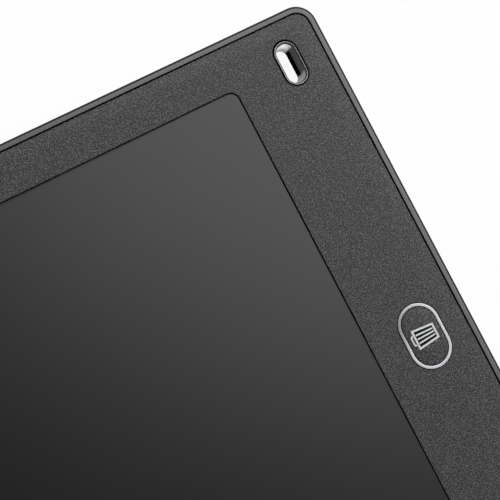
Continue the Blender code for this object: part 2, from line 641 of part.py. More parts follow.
def cut_lock_slot(shell):
    """Cut the finger recess and the slot of the lock slider."""
    slot_length = LOCK_KNOB_LENGTH + LOCK_TRAVEL + 2 * SIDE_GAP
    slot_width = LOCK_KNOB_WIDTH + 2 * SIDE_GAP
    margin = 2 * LOCK_RECESS_MARGIN
    place = (LOCK_X, LOCK_FLANGE_Y, 0)
    recess = obround(slot_length + margin, slot_width + margin)
    slot = obround(slot_length, slot_width)
    cut(shell, loft("lock_slot", [(recess, -CUT_OVERRUN), (recess, LOCK_RECESS_DEPTH),
                                  (slot, LOCK_RECESS_DEPTH), (slot, FLOOR_THICKNESS + SLOT_OVERRUN)],
                    place))


def build_front_panel(material):
    """Build the bezel plate with its window, ledge, openings and screw posts."""
    inset = RIM_WIDTH + SIDE_GAP
    rings = [(rounded_outline(CASE_WIDTH, CASE_LENGTH, CASE_CORNER_RADIUS, inset), PANEL_BOTTOM)]
    rings += [(rounded_outline(CASE_WIDTH, CASE_LENGTH, CASE_CORNER_RADIUS, inset + draw), PANEL_TOP - drop)
              for draw, drop in rounding(PANEL_EDGE_ROUND)]
    panel = loft("front_panel", rings, (0, 0, 0), material)
    ledge = rounded_outline(WINDOW_WIDTH, WINDOW_LENGTH, WINDOW_CORNER_RADIUS, LEDGE_WIDTH)
    for k, (x, y) in enumerate(case_screw_places()):
        join(panel, prism(f"post_{k}", circle_outline(CASE_POST_RADIUS),
                          FLOOR_THICKNESS + CASE_PAD_HEIGHT + SEAT_GAP, PANEL_BOTTOM + JOIN_OVERLAP,
                          (x, y, 0)))
        hole_top = CASE_SCREW_SINK + CASE_SCREW_HEAD_HEIGHT + CASE_SCREW_LENGTH + SIDE_GAP
        cut(panel, prism(f"post_hole_{k}", circle_outline(CASE_SCREW_RADIUS + SEAT_GAP, PIN_STEPS), 0,
                         hole_top, (x, y, 0)))
    cut(panel, flared("window_cut",
                      lambda inset: rounded_outline(WINDOW_WIDTH, WINDOW_LENGTH, WINDOW_CORNER_RADIUS, inset),
                      LEDGE_TOP, PANEL_TOP, PANEL_EDGE_ROUND / 2, (0, WINDOW_Y, 0)))
    cut(panel, prism("ledge_cut", ledge, PANEL_BOTTOM - CUT_OVERRUN, PANEL_TOP, (0, WINDOW_Y, 0)))
    cut_button_opening(panel)
    cut(panel, flared("panel_eyelet_slot",
                      lambda inset: obround(EYELET_LENGTH + 2 * SIDE_GAP, EYELET_WIDTH + 2 * SIDE_GAP, inset),
                      PANEL_BOTTOM - CUT_OVERRUN, PANEL_TOP, PANEL_EDGE_ROUND, (EYELET_X, EYELET_Y, 0)))
    cut_stylus_slot(panel)
    return panel


def cut_button_opening(panel):
    """Cut the trim ring's pocket and the button's hole."""
    place = (0, BUTTON_Y, 0)
    cut(panel, flared("ring_pocket",
                      lambda inset: obround(RING_LENGTH + 2 * RING_GAP, RING_WIDTH + 2 * RING_GAP, inset),
                      RING_BOTTOM - SEAT_GAP, PANEL_TOP, PANEL_EDGE_ROUND / 2, place))
    cut(panel, prism("button_hole", obround(RING_LENGTH - 2 * RING_WALL, RING_WIDTH - 2 * RING_WALL),
                     PANEL_BOTTOM - CUT_OVERRUN, PANEL_TOP, place))


def cut_stylus_slot(panel):
    """Cut the slot over the stylus: wide below, and narrower between the lips."""
    right = HALF_WIDTH + CUT_OVERRUN
    lip_half_width = STYLUS_RADIUS - CHANNEL_LIP_GRIP
    cut(panel, box("stylus_slot_wide", (CHANNEL_END_X, STYLUS_Y - CHANNEL_HALF_WIDTH,
                                        PANEL_BOTTOM - CUT_OVERRUN),
                   (right, STYLUS_Y + CHANNEL_HALF_WIDTH, PANEL_TOP - CHANNEL_LIP)))
    cut(panel, box("stylus_slot_narrow", (CHANNEL_END_X, STYLUS_Y - lip_half_width, PANEL_BOTTOM),
                   (right, STYLUS_Y + lip_half_width, PANEL_TOP + CUT_OVERRUN)))


def build_screen(film_material, tape_material, plate_material, tail_material):
    """Build the writing film, its tape, the plate behind it and its flat lead."""
    place = (0, WINDOW_Y, 0)

    def sheet(inset):
        return rounded_outline(WINDOW_WIDTH, WINDOW_LENGTH, WINDOW_CORNER_RADIUS, inset)

    prism("writing_film", sheet(SIDE_GAP), FILM_BOTTOM, FILM_TOP, place, film_material)
    tape = prism("film_tape", sheet(SIDE_GAP), TAPE_TOP - TAPE_THICKNESS, TAPE_TOP, place, tape_material)
    cut(tape, prism("tape_opening", sheet(LEDGE_WIDTH), 0, CASE_THICKNESS, place))
    backer = prism("film_backer", sheet(LEDGE_WIDTH + SIDE_GAP), PANEL_BOTTOM, BACKER_TOP, place,
                   plate_material)
    edge_y = WINDOW_LOWER_Y + LEDGE_WIDTH + SIDE_GAP
    notch_half = TAIL_WIDTH / 2 + SIDE_GAP
    cut(backer, box("tail_notch", (TAIL_X - notch_half, edge_y - CUT_OVERRUN, 0),
                    (TAIL_X + notch_half, edge_y + TAIL_NOTCH_DEPTH, CASE_THICKNESS)))
    build_tail(edge_y, tail_material)


def build_tail(edge_y, material):
    """Bend the flat lead from the film's underside down to its connector."""
    pad_height = FILM_BOTTOM - SEAT_GAP - TAIL_THICKNESS / 2
    lead_height = PART_BASE + CONNECTOR_HEIGHT / 2
    bend_y = edge_y + TAIL_NOTCH_DEPTH - TAIL_PAD_LENGTH - SIDE_GAP
    drop_y = edge_y + SIDE_GAP
    connector_face = BOARD_UPPER_Y - CONNECTOR_INSET
    path = [(bend_y + TAIL_PAD_LENGTH, pad_height), (bend_y, pad_height),
            (drop_y, PANEL_BOTTOM), (drop_y, lead_height + SIDE_GAP),
            (drop_y - SIDE_GAP, lead_height), (connector_face + SEAT_GAP, lead_height)]
    ribbon("film_tail", path, TAIL_THICKNESS, "x", TAIL_WIDTH, (TAIL_X, 0, 0), material)


def build_button(button_material, ring_material):
    """Build the trim ring and the erase button with its flange, pocket and stem."""
    place = (0, BUTTON_Y, 0)
    rings = [(obround(RING_LENGTH, RING_WIDTH), RING_BOTTOM)]
    rings += [(obround(RING_LENGTH, RING_WIDTH, draw), RING_TOP - drop)
              for draw, drop in rounding(RING_ROUND)]
    rings += [(obround(RING_LENGTH, RING_WIDTH, RING_WALL - draw), RING_TOP - drop)
              for draw, drop in reversed(rounding(RING_ROUND))]
    rings.append((obround(RING_LENGTH, RING_WIDTH, RING_WALL), RING_BOTTOM + RING_ROUND))
    ring = loft("button_ring", rings, place, ring_material)
    cut(ring, prism("ring_bore", obround(RING_LENGTH, RING_WIDTH, RING_WALL), 0, RING_TOP - RING_ROUND, place))
    flange = (BUTTON_LENGTH + 2 * BUTTON_FLANGE_WIDTH, BUTTON_WIDTH + 2 * BUTTON_FLANGE_WIDTH)
    profile = [(obround(*flange), FLANGE_BOTTOM), (obround(*flange), FLANGE_TOP),
               (obround(BUTTON_LENGTH, BUTTON_WIDTH), FLANGE_TOP)]
    profile += [(obround(BUTTON_LENGTH, BUTTON_WIDTH, draw), RING_TOP - drop)
                for draw, drop in rounding(BUTTON_EDGE_ROUND)]
    button = loft("erase_button", profile, place, button_material)
    pocket_top = RING_TOP - BUTTON_CAP_THICKNESS
    cut(button, prism("button_pocket", obround(BUTTON_LENGTH, BUTTON_WIDTH, BUTTON_WALL),
                      FLANGE_BOTTOM - CUT_OVERRUN, pocket_top, place))
    join(button, prism("button_stem", circle_outline(BUTTON_STEM_RADIUS, PIN_STEPS),
                       PLUNGER_TOP + SEAT_GAP, pocket_top + JOIN_OVERLAP, place))
    return button


def build_erase_switch(base_material, plunger_material):
    """Build the push switch under the button: its base and its moving plunger."""
    place = (0, BUTTON_Y, 0)
    base_top = PART_BASE + SWITCH_HEIGHT
    outline = rounded_outline(SWITCH_LENGTH, SWITCH_WIDTH, SEAT_GAP, 0, SMALL_CORNER_STEPS)
    base = prism("erase_switch_base", outline, PART_BASE, base_top, place, base_material)
    cut(base, prism("plunger_bore", circle_outline(PLUNGER_RADIUS + SIDE_GAP, PIN_STEPS),
                    PART_BASE + SWITCH_FLOOR, base_top + CUT_OVERRUN, place))
    plunger_bottom = PART_BASE + SWITCH_FLOOR + SEAT_GAP / 2 + BUTTON_TRAVEL
    return prism("erase_switch_plunger", circle_outline(PLUNGER_RADIUS, PIN_STEPS), plunger_bottom,
                 PLUNGER_TOP, place, plunger_material)


def build_eyelet(material):
    """Build the plated sleeve that lines the lanyard hole, with its rear flange."""
    place = (EYELET_X, EYELET_Y, 0)
    flange_length = EYELET_LENGTH + 2 * EYELET_FLANGE_WIDTH
    flange_width = EYELET_WIDTH + 2 * EYELET_FLANGE_WIDTH
    flange_top = SEAT_GAP + EYELET_FLANGE_THICKNESS
    rings = [(obround(flange_length, flange_width), SEAT_GAP),
             (obround(flange_length, flange_width), flange_top),
             (obround(EYELET_LENGTH, EYELET_WIDTH), flange_top)]
    rings += [(obround(EYELET_LENGTH, EYELET_WIDTH, draw), EYELET_TOP - drop)
              for draw, drop in rounding(EYELET_EDGE_ROUND)]
    sleeve = loft("lanyard_eyelet", rings, place, material)
    mouth = obround(EYELET_LENGTH, EYELET_WIDTH, EYELET_WALL)
    throat = obround(EYELET_LENGTH, EYELET_WIDTH, EYELET_REAR_WALL)
    cut(sleeve, loft("eyelet_bore", [(throat, -CUT_OVERRUN), (throat, flange_top),
                                     (mouth, EYELET_TOP - EYELET_EDGE_ROUND),
                                     (mouth, EYELET_TOP + CUT_OVERRUN)], place))


def build_board(materials):
    """Build the circuit board and the small parts that stand on it."""
    outline = rounded_outline(BOARD_LENGTH, BOARD_WIDTH, BOARD_CORNER_RADIUS, 0, SMALL_CORNER_STEPS)
    board = prism("circuit_board", outline, BOARD_BOTTOM, BOARD_TOP, (BOARD_X, BOARD_Y, 0), materials["board"])
    for k, (x, y) in enumerate(board_screw_places()):
        cut(board, prism(f"board_hole_{k}", circle_outline(BOARD_SCREW_RADIUS + SIDE_GAP, PIN_STEPS),
                         0, CASE_THICKNESS, (x, y, 0)))
    row_y = BOARD_LOWER_Y + COMPONENT_ROW
    outline = rounded_outline(CHIP_SIZE, CHIP_SIZE, CHIP_CORNER_RADIUS, 0, SMALL_CORNER_STEPS)
    prism("driver_chip", outline, PART_BASE, PART_BASE + CHIP_HEIGHT, (CHIP_X, BOARD_Y, 0), materials["black"])
    outline = rounded_outline(INDUCTOR_SIZE, INDUCTOR_SIZE, INDUCTOR_CORNER_RADIUS, 0, SMALL_CORNER_STEPS)
    prism("boost_inductor", outline, PART_BASE, PART_BASE + INDUCTOR_HEIGHT, (INDUCTOR_X, row_y, 0),
          materials["black"])
    box("boost_diode", (DIODE_X - DIODE_LENGTH / 2, row_y - DIODE_WIDTH / 2, PART_BASE),
        (DIODE_X + DIODE_LENGTH / 2, row_y + DIODE_WIDTH / 2, PART_BASE + DIODE_HEIGHT), materials["black"])
    chip_row("board_capacitor", CAPACITOR_X, row_y, CAPACITOR_HEIGHT, materials["ceramic"])
    chip_row("board_resistor", RESISTOR_X, row_y, RESISTOR_HEIGHT, materials["black"])
    connector_y = BOARD_UPPER_Y - CONNECTOR_INSET - CONNECTOR_WIDTH
    box("film_connector", (TAIL_X - CONNECTOR_LENGTH / 2, connector_y, PART_BASE),
        (TAIL_X + CONNECTOR_LENGTH / 2, connector_y + CONNECTOR_WIDTH, PART_BASE + CONNECTOR_HEIGHT),
        materials["ceramic"])


def chip_row(name, first_x, row_y, height, material):
    """Build a row of small soldered blocks."""
    for k in range(CHIP_PART_COUNT):
        x = first_x + k * CHIP_PART_PITCH
        box(f"{name}_{k + 1}", (x - CHIP_PART_WIDTH / 2, row_y - CHIP_PART_LENGTH / 2, PART_BASE),
            (x + CHIP_PART_WIDTH / 2, row_y + CHIP_PART_LENGTH / 2, PART_BASE + height), material)


def build_battery(cell_material, contact_material, door_material, screw_material):
    """Build the coin cell, its two contacts, the door and the door's captive screw."""
    cell_rings = [(circle_outline(CELL_RADIUS - draw, CELL_STEPS), CELL_BOTTOM + drop)
                  for draw, drop in reversed(rounding(CELL_EDGE_ROUND))]
    cell_rings += [(circle_outline(CELL_RADIUS - draw, CELL_STEPS), CELL_TOP - drop)
                   for draw, drop in rounding(CELL_EDGE_ROUND)]
    loft("coin_cell", cell_rings, (CELL_X, CELL_Y, 0), cell_material)
    build_contacts(contact_material)
    outline = rounded_outline(DOOR_WIDTH, DOOR_LENGTH, DOOR_CORNER_RADIUS)
    door = prism("battery_door", outline, 0, FLOOR_THICKNESS, (CELL_X, DOOR_Y, 0), door_material)
    place = (CELL_X, DOOR_SCREW_Y, 0)
    cut(door, stepped_hole("door_hole", DOOR_SCREW_HEAD_RADIUS + SEAT_GAP,
                           DOOR_SCREW_SINK + DOOR_SCREW_HEAD_HEIGHT + SEAT_GAP / 2,
                           DOOR_SCREW_RADIUS + SEAT_GAP, FLOOR_THICKNESS + CUT_OVERRUN, place))
    for k in range(DOOR_GRIP_COUNT):
        y = CELL_Y + (k - (DOOR_GRIP_COUNT - 1) / 2) * DOOR_GRIP_PITCH
        cut(door, prism(f"door_grip_{k}", obround(DOOR_GRIP_LENGTH, DOOR_GRIP_WIDTH), -CUT_OVERRUN,
                        DOOR_GRIP_DEPTH, (CELL_X, y, 0)))
    head_place = (CELL_X, DOOR_SCREW_Y, DOOR_SCREW_SINK + DOOR_SCREW_HEAD_HEIGHT)
    fastener = screw("battery_door_screw", DOOR_SCREW_RADIUS, DOOR_SCREW_LENGTH, DOOR_SCREW_HEAD_RADIUS,
                     DOOR_SCREW_HEAD_HEIGHT, head_place, screw_material, False)
    return door, fastener


def build_contacts(material):
    """Bend the two battery contacts from their feet on the board to the cell."""
    foot_height = PART_BASE + CONTACT_THICKNESS / 2
    run_height = max(foot_height, CELL_TOP + SEAT_GAP + CONTACT_THICKNESS / 2)
    foot_end = BOARD_LEFT_X + SEAT_GAP
    negative = [(foot_end + CONTACT_FOOT_LENGTH, foot_height), (foot_end, foot_height),
                (foot_end - CONTACT_RAMP_LENGTH, run_height),
                (CELL_X + CELL_RADIUS - CONTACT_REACH, run_height)]
    ribbon("battery_contact_negative", negative, CONTACT_THICKNESS, "y", CONTACT_WIDTH,
           (0, CELL_Y - NEGATIVE_CONTACT_OFFSET, 0), material)
    side_x = CELL_X + CELL_RADIUS + SEAT_GAP + CONTACT_THICKNESS / 2
    positive = [(foot_end + CONTACT_FOOT_LENGTH, foot_height), (side_x, foot_height),
                (side_x, CELL_BOTTOM + CELL_EDGE_ROUND)]
    ribbon("battery_contact_positive", positive, CONTACT_THICKNESS, "y", CONTACT_WIDTH,
           (0, CELL_Y, 0), material)


def build_lock(slider_material, case_material, actuator_material):
    """Build the slide switch, its actuator and the slider that reaches it from behind."""
    face_y = BOARD_UPPER_Y - SLIDE_SWITCH_INSET
    case = box("slide_switch_case", (LOCK_X - SLIDE_SWITCH_LENGTH / 2, face_y - SLIDE_SWITCH_WIDTH, PART_BASE),
               (LOCK_X + SLIDE_SWITCH_LENGTH / 2, face_y, PART_BASE + SLIDE_SWITCH_HEIGHT), case_material)
    reach = LOCK_TRAVEL / 2 + ACTUATOR_WIDTH / 2 + SIDE_GAP
    cut(case, box("actuator_window", (LOCK_X - reach, face_y - ACTUATOR_INSIDE - SIDE_GAP,
                                      ACTUATOR_BASE - SEAT_GAP),
                  (LOCK_X + reach, face_y + CUT_OVERRUN, ACTUATOR_BASE + ACTUATOR_HEIGHT + SEAT_GAP)))
    post_far_y = LOCK_POST_Y + LOCK_POST_DEPTH / 2
    actuator = box("slide_switch_actuator",
                   (LOCK_REST_X - ACTUATOR_WIDTH / 2, face_y - ACTUATOR_INSIDE, ACTUATOR_BASE),
                   (LOCK_REST_X + ACTUATOR_WIDTH / 2, post_far_y, ACTUATOR_BASE + ACTUATOR_HEIGHT),
                   actuator_material)
    place = (LOCK_REST_X, LOCK_FLANGE_Y, 0)
    flange_bottom = FLOOR_THICKNESS + SEAT_GAP
    flange_top = flange_bottom + LOCK_FLANGE_THICKNESS
    outline = rounded_outline(LOCK_FLANGE_LENGTH, LOCK_FLANGE_WIDTH, RIB_THICKNESS, 0, SMALL_CORNER_STEPS)
    slider = prism("lock_slider", outline, flange_bottom, flange_top, place, slider_material)
    join(slider, prism("lock_knob", obround(LOCK_KNOB_LENGTH, LOCK_KNOB_WIDTH), LOCK_KNOB_SINK,
                       flange_bottom + LOCK_FLANGE_THICKNESS / 2, place))
    for side in (-1, 1):
        x = LOCK_REST_X + side * (ACTUATOR_WIDTH / 2 + SIDE_GAP + LOCK_POST_WIDTH / 2)
        join(slider, box(f"lock_post_{side}", (x - LOCK_POST_WIDTH / 2, LOCK_POST_Y - LOCK_POST_DEPTH / 2,
                                               flange_bottom + LOCK_FLANGE_THICKNESS / 2),
                         (x + LOCK_POST_WIDTH / 2, post_far_y, ACTUATOR_BASE + ACTUATOR_HEIGHT)))
    for k in range(LOCK_GROOVE_COUNT):
        x = LOCK_REST_X + (k - (LOCK_GROOVE_COUNT - 1) / 2) * 2 * LOCK_GROOVE_WIDTH
        cut(slider, box(f"lock_groove_{k}", (x - LOCK_GROOVE_WIDTH / 2, LOCK_FLANGE_Y - LOCK_KNOB_WIDTH,
                                             -CUT_OVERRUN),
                        (x + LOCK_GROOVE_WIDTH / 2, LOCK_FLANGE_Y + LOCK_KNOB_WIDTH,
                         LOCK_KNOB_SINK + LOCK_GROOVE_DEPTH)))
    return slider, actuator


def build_stylus(barrel_material, tip_material, cap_material):
    """Build the stylus: a tube, a nib with a neck inside it and an end cap with a plug."""
    axis = (0, STYLUS_Y, STYLUS_Z)
    start = STYLUS_END_X - STYLUS_LENGTH
    neck_x = start + STYLUS_TIP_LENGTH
    cap_x = STYLUS_END_X - STYLUS_CAP_LENGTH
    inner = STYLUS_RADIUS - STYLUS_BARREL_WALL
    edge = STYLUS_EDGE_ROUND
    barrel = turned("stylus_barrel", [(STYLUS_RADIUS - edge, neck_x + SEAT_GAP),
                                      (STYLUS_RADIUS, neck_x + SEAT_GAP + edge),
                                      (STYLUS_RADIUS, cap_x - SEAT_GAP)], axis, barrel_material)
    bore = turned("barrel_bore", [(inner, neck_x - CUT_OVERRUN), (inner, cap_x + CUT_OVERRUN)], axis)
    cut(barrel, bore)
    neck_end = neck_x + STYLUS_TIP_NECK_LENGTH
    tip = turned("stylus_tip", [(STYLUS_TIP_END_RADIUS / 2, start),
                                (STYLUS_TIP_END_RADIUS, start + STYLUS_TIP_END_RADIUS / 2),
                                (STYLUS_TIP_NECK_RADIUS, start + STYLUS_TIP_LENGTH / 2),
                                (STYLUS_RADIUS - edge, neck_x),
                                (STYLUS_TIP_NECK_RADIUS, neck_x),
                                (STYLUS_TIP_NECK_RADIUS, neck_end)], axis, tip_material)
    plug_radius = inner - SEAT_GAP
    cap = turned("stylus_end_cap", [(plug_radius, cap_x - STYLUS_CAP_PLUG_LENGTH), (plug_radius, cap_x),
                                    (STYLUS_RADIUS, cap_x), (STYLUS_RADIUS, STYLUS_END_X - edge),
                                    (STYLUS_RADIUS - edge, STYLUS_END_X)], axis, cap_material)
    return barrel, tip, cap


def build_screws(material):
    """Build the screws that hold the panel and those that hold the circuit board."""
    case_height = CASE_SCREW_SINK + CASE_SCREW_HEAD_HEIGHT
    for k, (x, y) in enumerate(case_screw_places()):
        screw(f"case_screw_{k + 1}", CASE_SCREW_RADIUS, CASE_SCREW_LENGTH, CASE_SCREW_HEAD_RADIUS,
              CASE_SCREW_HEAD_HEIGHT, (x, y, case_height), material, False)
    length = PART_BASE - BOARD_SCREW_PILOT_FLOOR - SEAT_GAP
    for k, (x, y) in enumerate(board_screw_places()):
        screw(f"board_screw_{k + 1}", BOARD_SCREW_RADIUS, length, BOARD_SCREW_HEAD_RADIUS,
              BOARD_SCREW_HEAD_HEIGHT, (x, y, PART_BASE), material, True)


def main():
    """Build the whole tablet."""
    clear_scene()
    shell = make_material("satin_shell", SATIN_SHELL)
    panel = make_material("textured_panel", TEXTURED_PANEL)
    film = make_material("film_surface", FILM_SURFACE)
    silver = make_material("silver_trim", SILVER_TRIM)
    steel = make_material("plain_steel", PLAIN_STEEL)
    black = make_material("black_plastic", BLACK_PLASTIC)
    tape = make_material("tape", TAPE)
    tail = make_material("flex_lead", FLEX_LEAD)
    gold = make_material("contact_gold", CONTACT_GOLD)
    board = {"board": make_material("board_laminate", BOARD_LAMINATE), "black": black,
             "ceramic": make_material("ceramic", CERAMIC)}
    build_rear_shell(shell)
    build_front_panel(panel)
    build_screen(film, tape, black, tail)
    button = build_button(panel, silver)
    plunger = build_erase_switch(black, steel)
    build_eyelet(silver)
    build_board(board)
    door, door_screw = build_battery(steel, gold, shell, steel)
    slider, actuator = build_lock(shell, steel, black)
    stylus = build_stylus(silver, black, shell)
    build_screws(steel)
    joint_frame("erase_press_axis", (0, BUTTON_Y, RING_TOP), [button])
    joint_frame("switch_plunge_axis", (0, BUTTON_Y, PLUNGER_TOP), [plunger])
    joint_frame("lock_slide_axis", (LOCK_REST_X, LOCK_FLANGE_Y, 0), [slider])
    joint_frame("lock_switch_axis", (LOCK_REST_X, BOARD_UPPER_Y, ACTUATOR_BASE), [actuator])
    joint_frame("battery_door_axis", (CELL_X, DOOR_Y, 0), [door, door_screw])
    joint_frame("stylus_draw_axis", (0, STYLUS_Y, STYLUS_Z), list(stylus))


main()
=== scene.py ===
"""Looks of the liquid-crystal writing tablet: finishes, fine shapes, floor, light and camera.

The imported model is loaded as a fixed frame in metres, +Z out of the writing face.
Every new piece takes its place from the node that it stands for, and rides on that
node's body. Shapes are grids of points worked out with numpy.
"""
from __future__ import annotations

import json
import logging
import math
from collections.abc import Callable, Sequence
from dataclasses import dataclass
from enum import Enum
from functools import cached_property

import bmesh
import bpy
import numpy as np
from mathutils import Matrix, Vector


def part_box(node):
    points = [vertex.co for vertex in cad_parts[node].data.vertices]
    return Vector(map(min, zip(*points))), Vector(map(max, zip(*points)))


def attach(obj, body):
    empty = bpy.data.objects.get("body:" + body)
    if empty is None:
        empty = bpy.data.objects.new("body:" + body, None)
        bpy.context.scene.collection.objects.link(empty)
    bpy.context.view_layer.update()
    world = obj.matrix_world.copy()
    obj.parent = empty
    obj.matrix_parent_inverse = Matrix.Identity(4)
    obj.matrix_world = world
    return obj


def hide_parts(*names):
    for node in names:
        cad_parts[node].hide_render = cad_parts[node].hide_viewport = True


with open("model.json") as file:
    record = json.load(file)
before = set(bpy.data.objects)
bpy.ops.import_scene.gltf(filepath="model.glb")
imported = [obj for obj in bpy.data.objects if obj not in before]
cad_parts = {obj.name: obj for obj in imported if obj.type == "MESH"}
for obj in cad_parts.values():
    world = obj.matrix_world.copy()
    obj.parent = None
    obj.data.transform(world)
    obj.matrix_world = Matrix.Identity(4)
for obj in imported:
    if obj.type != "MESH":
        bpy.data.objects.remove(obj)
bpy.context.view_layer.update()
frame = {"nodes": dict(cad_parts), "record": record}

LOG = logging.getLogger("writing_tablet")
MM = 0.001
WELD = 2e-6
NOISE_MEAN = 0.5
DARKEST = 0.05
WHITE = (1.0, 1.0, 1.0, 1.0)
Array = np.ndarray
Span = tuple[float, float]
Triple = tuple[float, float, float]
Node = bpy.types.Node
Object = bpy.types.Object
Socket = bpy.types.NodeSocket
Laid = dict[str, object]
Pieces = list[Object]


class Side(Enum):
    """The way that a screw's head looks."""

    UP = 1
    DOWN = -1


# Node trees


class NodeSheet:
    """Short calls for laying out the nodes of one tree."""

    def __init__(self, tree: bpy.types.NodeTree) -> None:
        """Keep the tree that the nodes go into."""
        self.tree = tree

    def plug(self, node: Node, name: str | int, value: object) -> None:
        """Link a socket to an input, or set the input's value.

        Args:
            node: The node that takes the value.
            name: Name or number of its input.
            value: A socket to link, or a plain value.
        """
        if isinstance(value, Socket):
            self.tree.links.new(value, node.inputs[name])
        else:
            node.inputs[name].default_value = value

    def add(self, kind: str, values: dict | None = None, **settings: object) -> Node:
        """Add a shader node.

        Args:
            kind: Blender's name of the node type, without ShaderNode.
            values: Values or sockets for its inputs.
            settings: Properties to set on the node.

        Returns:
            The new node.
        """
        node = self.tree.nodes.new(f"ShaderNode{kind}")
        for name, value in settings.items():
            setattr(node, name, value)
        for name, value in (values or {}).items():
            self.plug(node, name, value)
        return node

    def math(self, operation: str, first: object, second: object) -> Socket:
        """Return the result of a Math node."""
        return self.add("Math", {0: first, 1: second}, operation=operation).outputs[0]

    def plus(self, first: object, second: object) -> Socket:
        """Return the sum of two values."""
        return self.math("ADD", first, second)

    def less(self, first: object, second: object) -> Socket:
        """Return the first value less the second."""
        return self.math("SUBTRACT", first, second)

    def times(self, first: object, second: object, third: object = None) -> Socket:
        """Return the product of two or three values."""
        product = self.math("MULTIPLY", first, second)
        return product if third is None else self.math("MULTIPLY", product, third)

    def between(self, share: object, first: object, second: object) -> Socket:
        """Return a value between two values, at a share of the second."""
        return self.add("Mix", {0: share, 2: first, 3: second}).outputs[0]

    def mix(self, share: object, first: object, second: object, blend: str = "MIX") -> Socket:
        """Return a colour between two colours, at a share of the second."""
        values = {0: share, 6: first, 7: second}
        return self.add("Mix", values, data_type="RGBA", blend_type=blend).outputs[2]

    def toned(self, colour: object, tone: Socket) -> Socket:
        """Return a colour multiplied by a tone."""
        grey = self.add("CombineXYZ", {0: tone, 1: tone, 2: tone}).outputs[0]
        return self.mix(1.0, colour, grey, "MULTIPLY")

    def varied(self, colour: object, height: Socket, contrast: object) -> Socket:
        """Return a colour that swings with a noise height, and never falls to black."""
        swing = self.times(self.less(height, NOISE_MEAN), contrast)
        return self.toned(colour, self.math("MAXIMUM", DARKEST, self.plus(1.0, swing)))

    def noise(self, vector: Socket, scale: object, detail: float = 2.0,
              roughness: float = 0.5) -> Socket:
        """Return a noise value, with scale in blobs per metre."""
        values = {"Vector": vector, "Scale": scale, "Detail": detail, "Roughness": roughness}
        return self.add("TexNoise", values).outputs["Fac"]

    def fade(self, value: Socket, low: float, high: float, start: float = 0.0,
             end: float = 1.0) -> Socket:
        """Return a smooth step from start to end while the value goes from low to high."""
        values = {"Value": value, "From Min": low, "From Max": high, "To Min": start, "To Max": end}
        return self.add("MapRange", values, interpolation_type="SMOOTHSTEP").outputs["Result"]

    @cached_property
    def place(self) -> Socket:
        """The Object coordinates, which are metres in the tablet's frame."""
        return self.add("TexCoord").outputs["Object"]

    def stretch(self, vector: Socket, scale: Sequence[float]) -> Socket:
        """Return coordinates that are scaled along each axis."""
        return self.add("Mapping", {"Vector": vector, "Scale": scale}).outputs[0]

    def axes(self, vector: Socket) -> bpy.types.NodeOutputs:
        """Return the X, Y and Z of a vector."""
        return self.add("SeparateXYZ", {"Vector": vector}).outputs

    def measure(self, operation: str, first: object, second: object = (0, 0, 0)) -> Socket:
        """Return the number that a Vector Math node works out."""
        return self.add("VectorMath", {0: first, 1: second}, operation=operation).outputs["Value"]

    def effect(self, group: bpy.types.NodeTree, **values: object) -> dict[str, Socket]:
        """Place an effect group and return its outputs by name."""
        outputs = self.add("Group", values, node_tree=group).outputs
        return {socket.name: socket for socket in outputs}

    def bump(self, height: Socket, distance: float) -> Socket:
        """Return a normal that follows a height of the given distance in metres."""
        return self.add("Bump", {"Height": height, "Distance": distance}).outputs["Normal"]


class EffectSheet(NodeSheet):
    """The sheet of a node group that several finishes share."""

    def __init__(self, name: str, takes: str) -> None:
        """Start a group.

        Args:
            name: Its name.
            takes: The names of its inputs, with spaces between them.
        """
        super().__init__(bpy.data.node_groups.new(name, "ShaderNodeTree"))
        self.sockets("INPUT", takes.split())
        self.takes = self.tree.nodes.new("NodeGroupInput").outputs

    def sockets(self, way: str, labels: Sequence[str]) -> None:
        """Add the sockets of one side, which carry numbers unless their name is of another kind.

        Args:
            way: The side, "INPUT" or "OUTPUT".
            labels: The names of the sockets.
        """
        kinds = {"Vector": "Vector", "Color": "Color", "Rubbed": "Color"}
        for label in labels:
            kind = f"NodeSocket{kinds.get(label, 'Float')}"
            self.tree.interface.new_socket(name=label, in_out=way, socket_type=kind)

    def give(self, **made: Socket) -> bpy.types.NodeTree:
        """Finish the group.

        Args:
            made: Its outputs by name.

        Returns:
            The node group.
        """
        self.sockets("OUTPUT", list(made))
        target = self.tree.nodes.new("NodeGroupOutput")
        for label, value in made.items():
            self.plug(target, label, value)
        return self.tree


def mould_grain() -> bpy.types.NodeTree:
    """Lay out moulded grain, which tints and lifts the surface.

    Its height is two noises, one 2.5 times as coarse, or pits of the same size in their place. A
    pit's height is the distance to the nearest of many scattered points, as where single sparks
    ate into the mould. The share Pits says how much of the grain they make.

    Returns:
        The node group.
    """
    sheet = EffectSheet("mould_grain", "Vector Color Size Contrast Pits")
    coarse_share, coarse_pitch = 0.08, 0.4
    vector = sheet.takes["Vector"]
    pitch = sheet.math("DIVIDE", 1.0, sheet.takes["Size"])
    fine = sheet.noise(vector, pitch, roughness=0.62)
    coarse = sheet.noise(vector, sheet.times(pitch, coarse_pitch), detail=1.0)
    pits = sheet.add("TexVoronoi", {"Vector": vector, "Scale": pitch}, feature="F1")
    height = sheet.between(sheet.takes["Pits"], sheet.between(coarse_share, fine, coarse),
                           pits.outputs["Distance"])
    colour = sheet.varied(sheet.takes["Color"], height, sheet.takes["Contrast"])
    return sheet.give(Color=colour, Height=height)


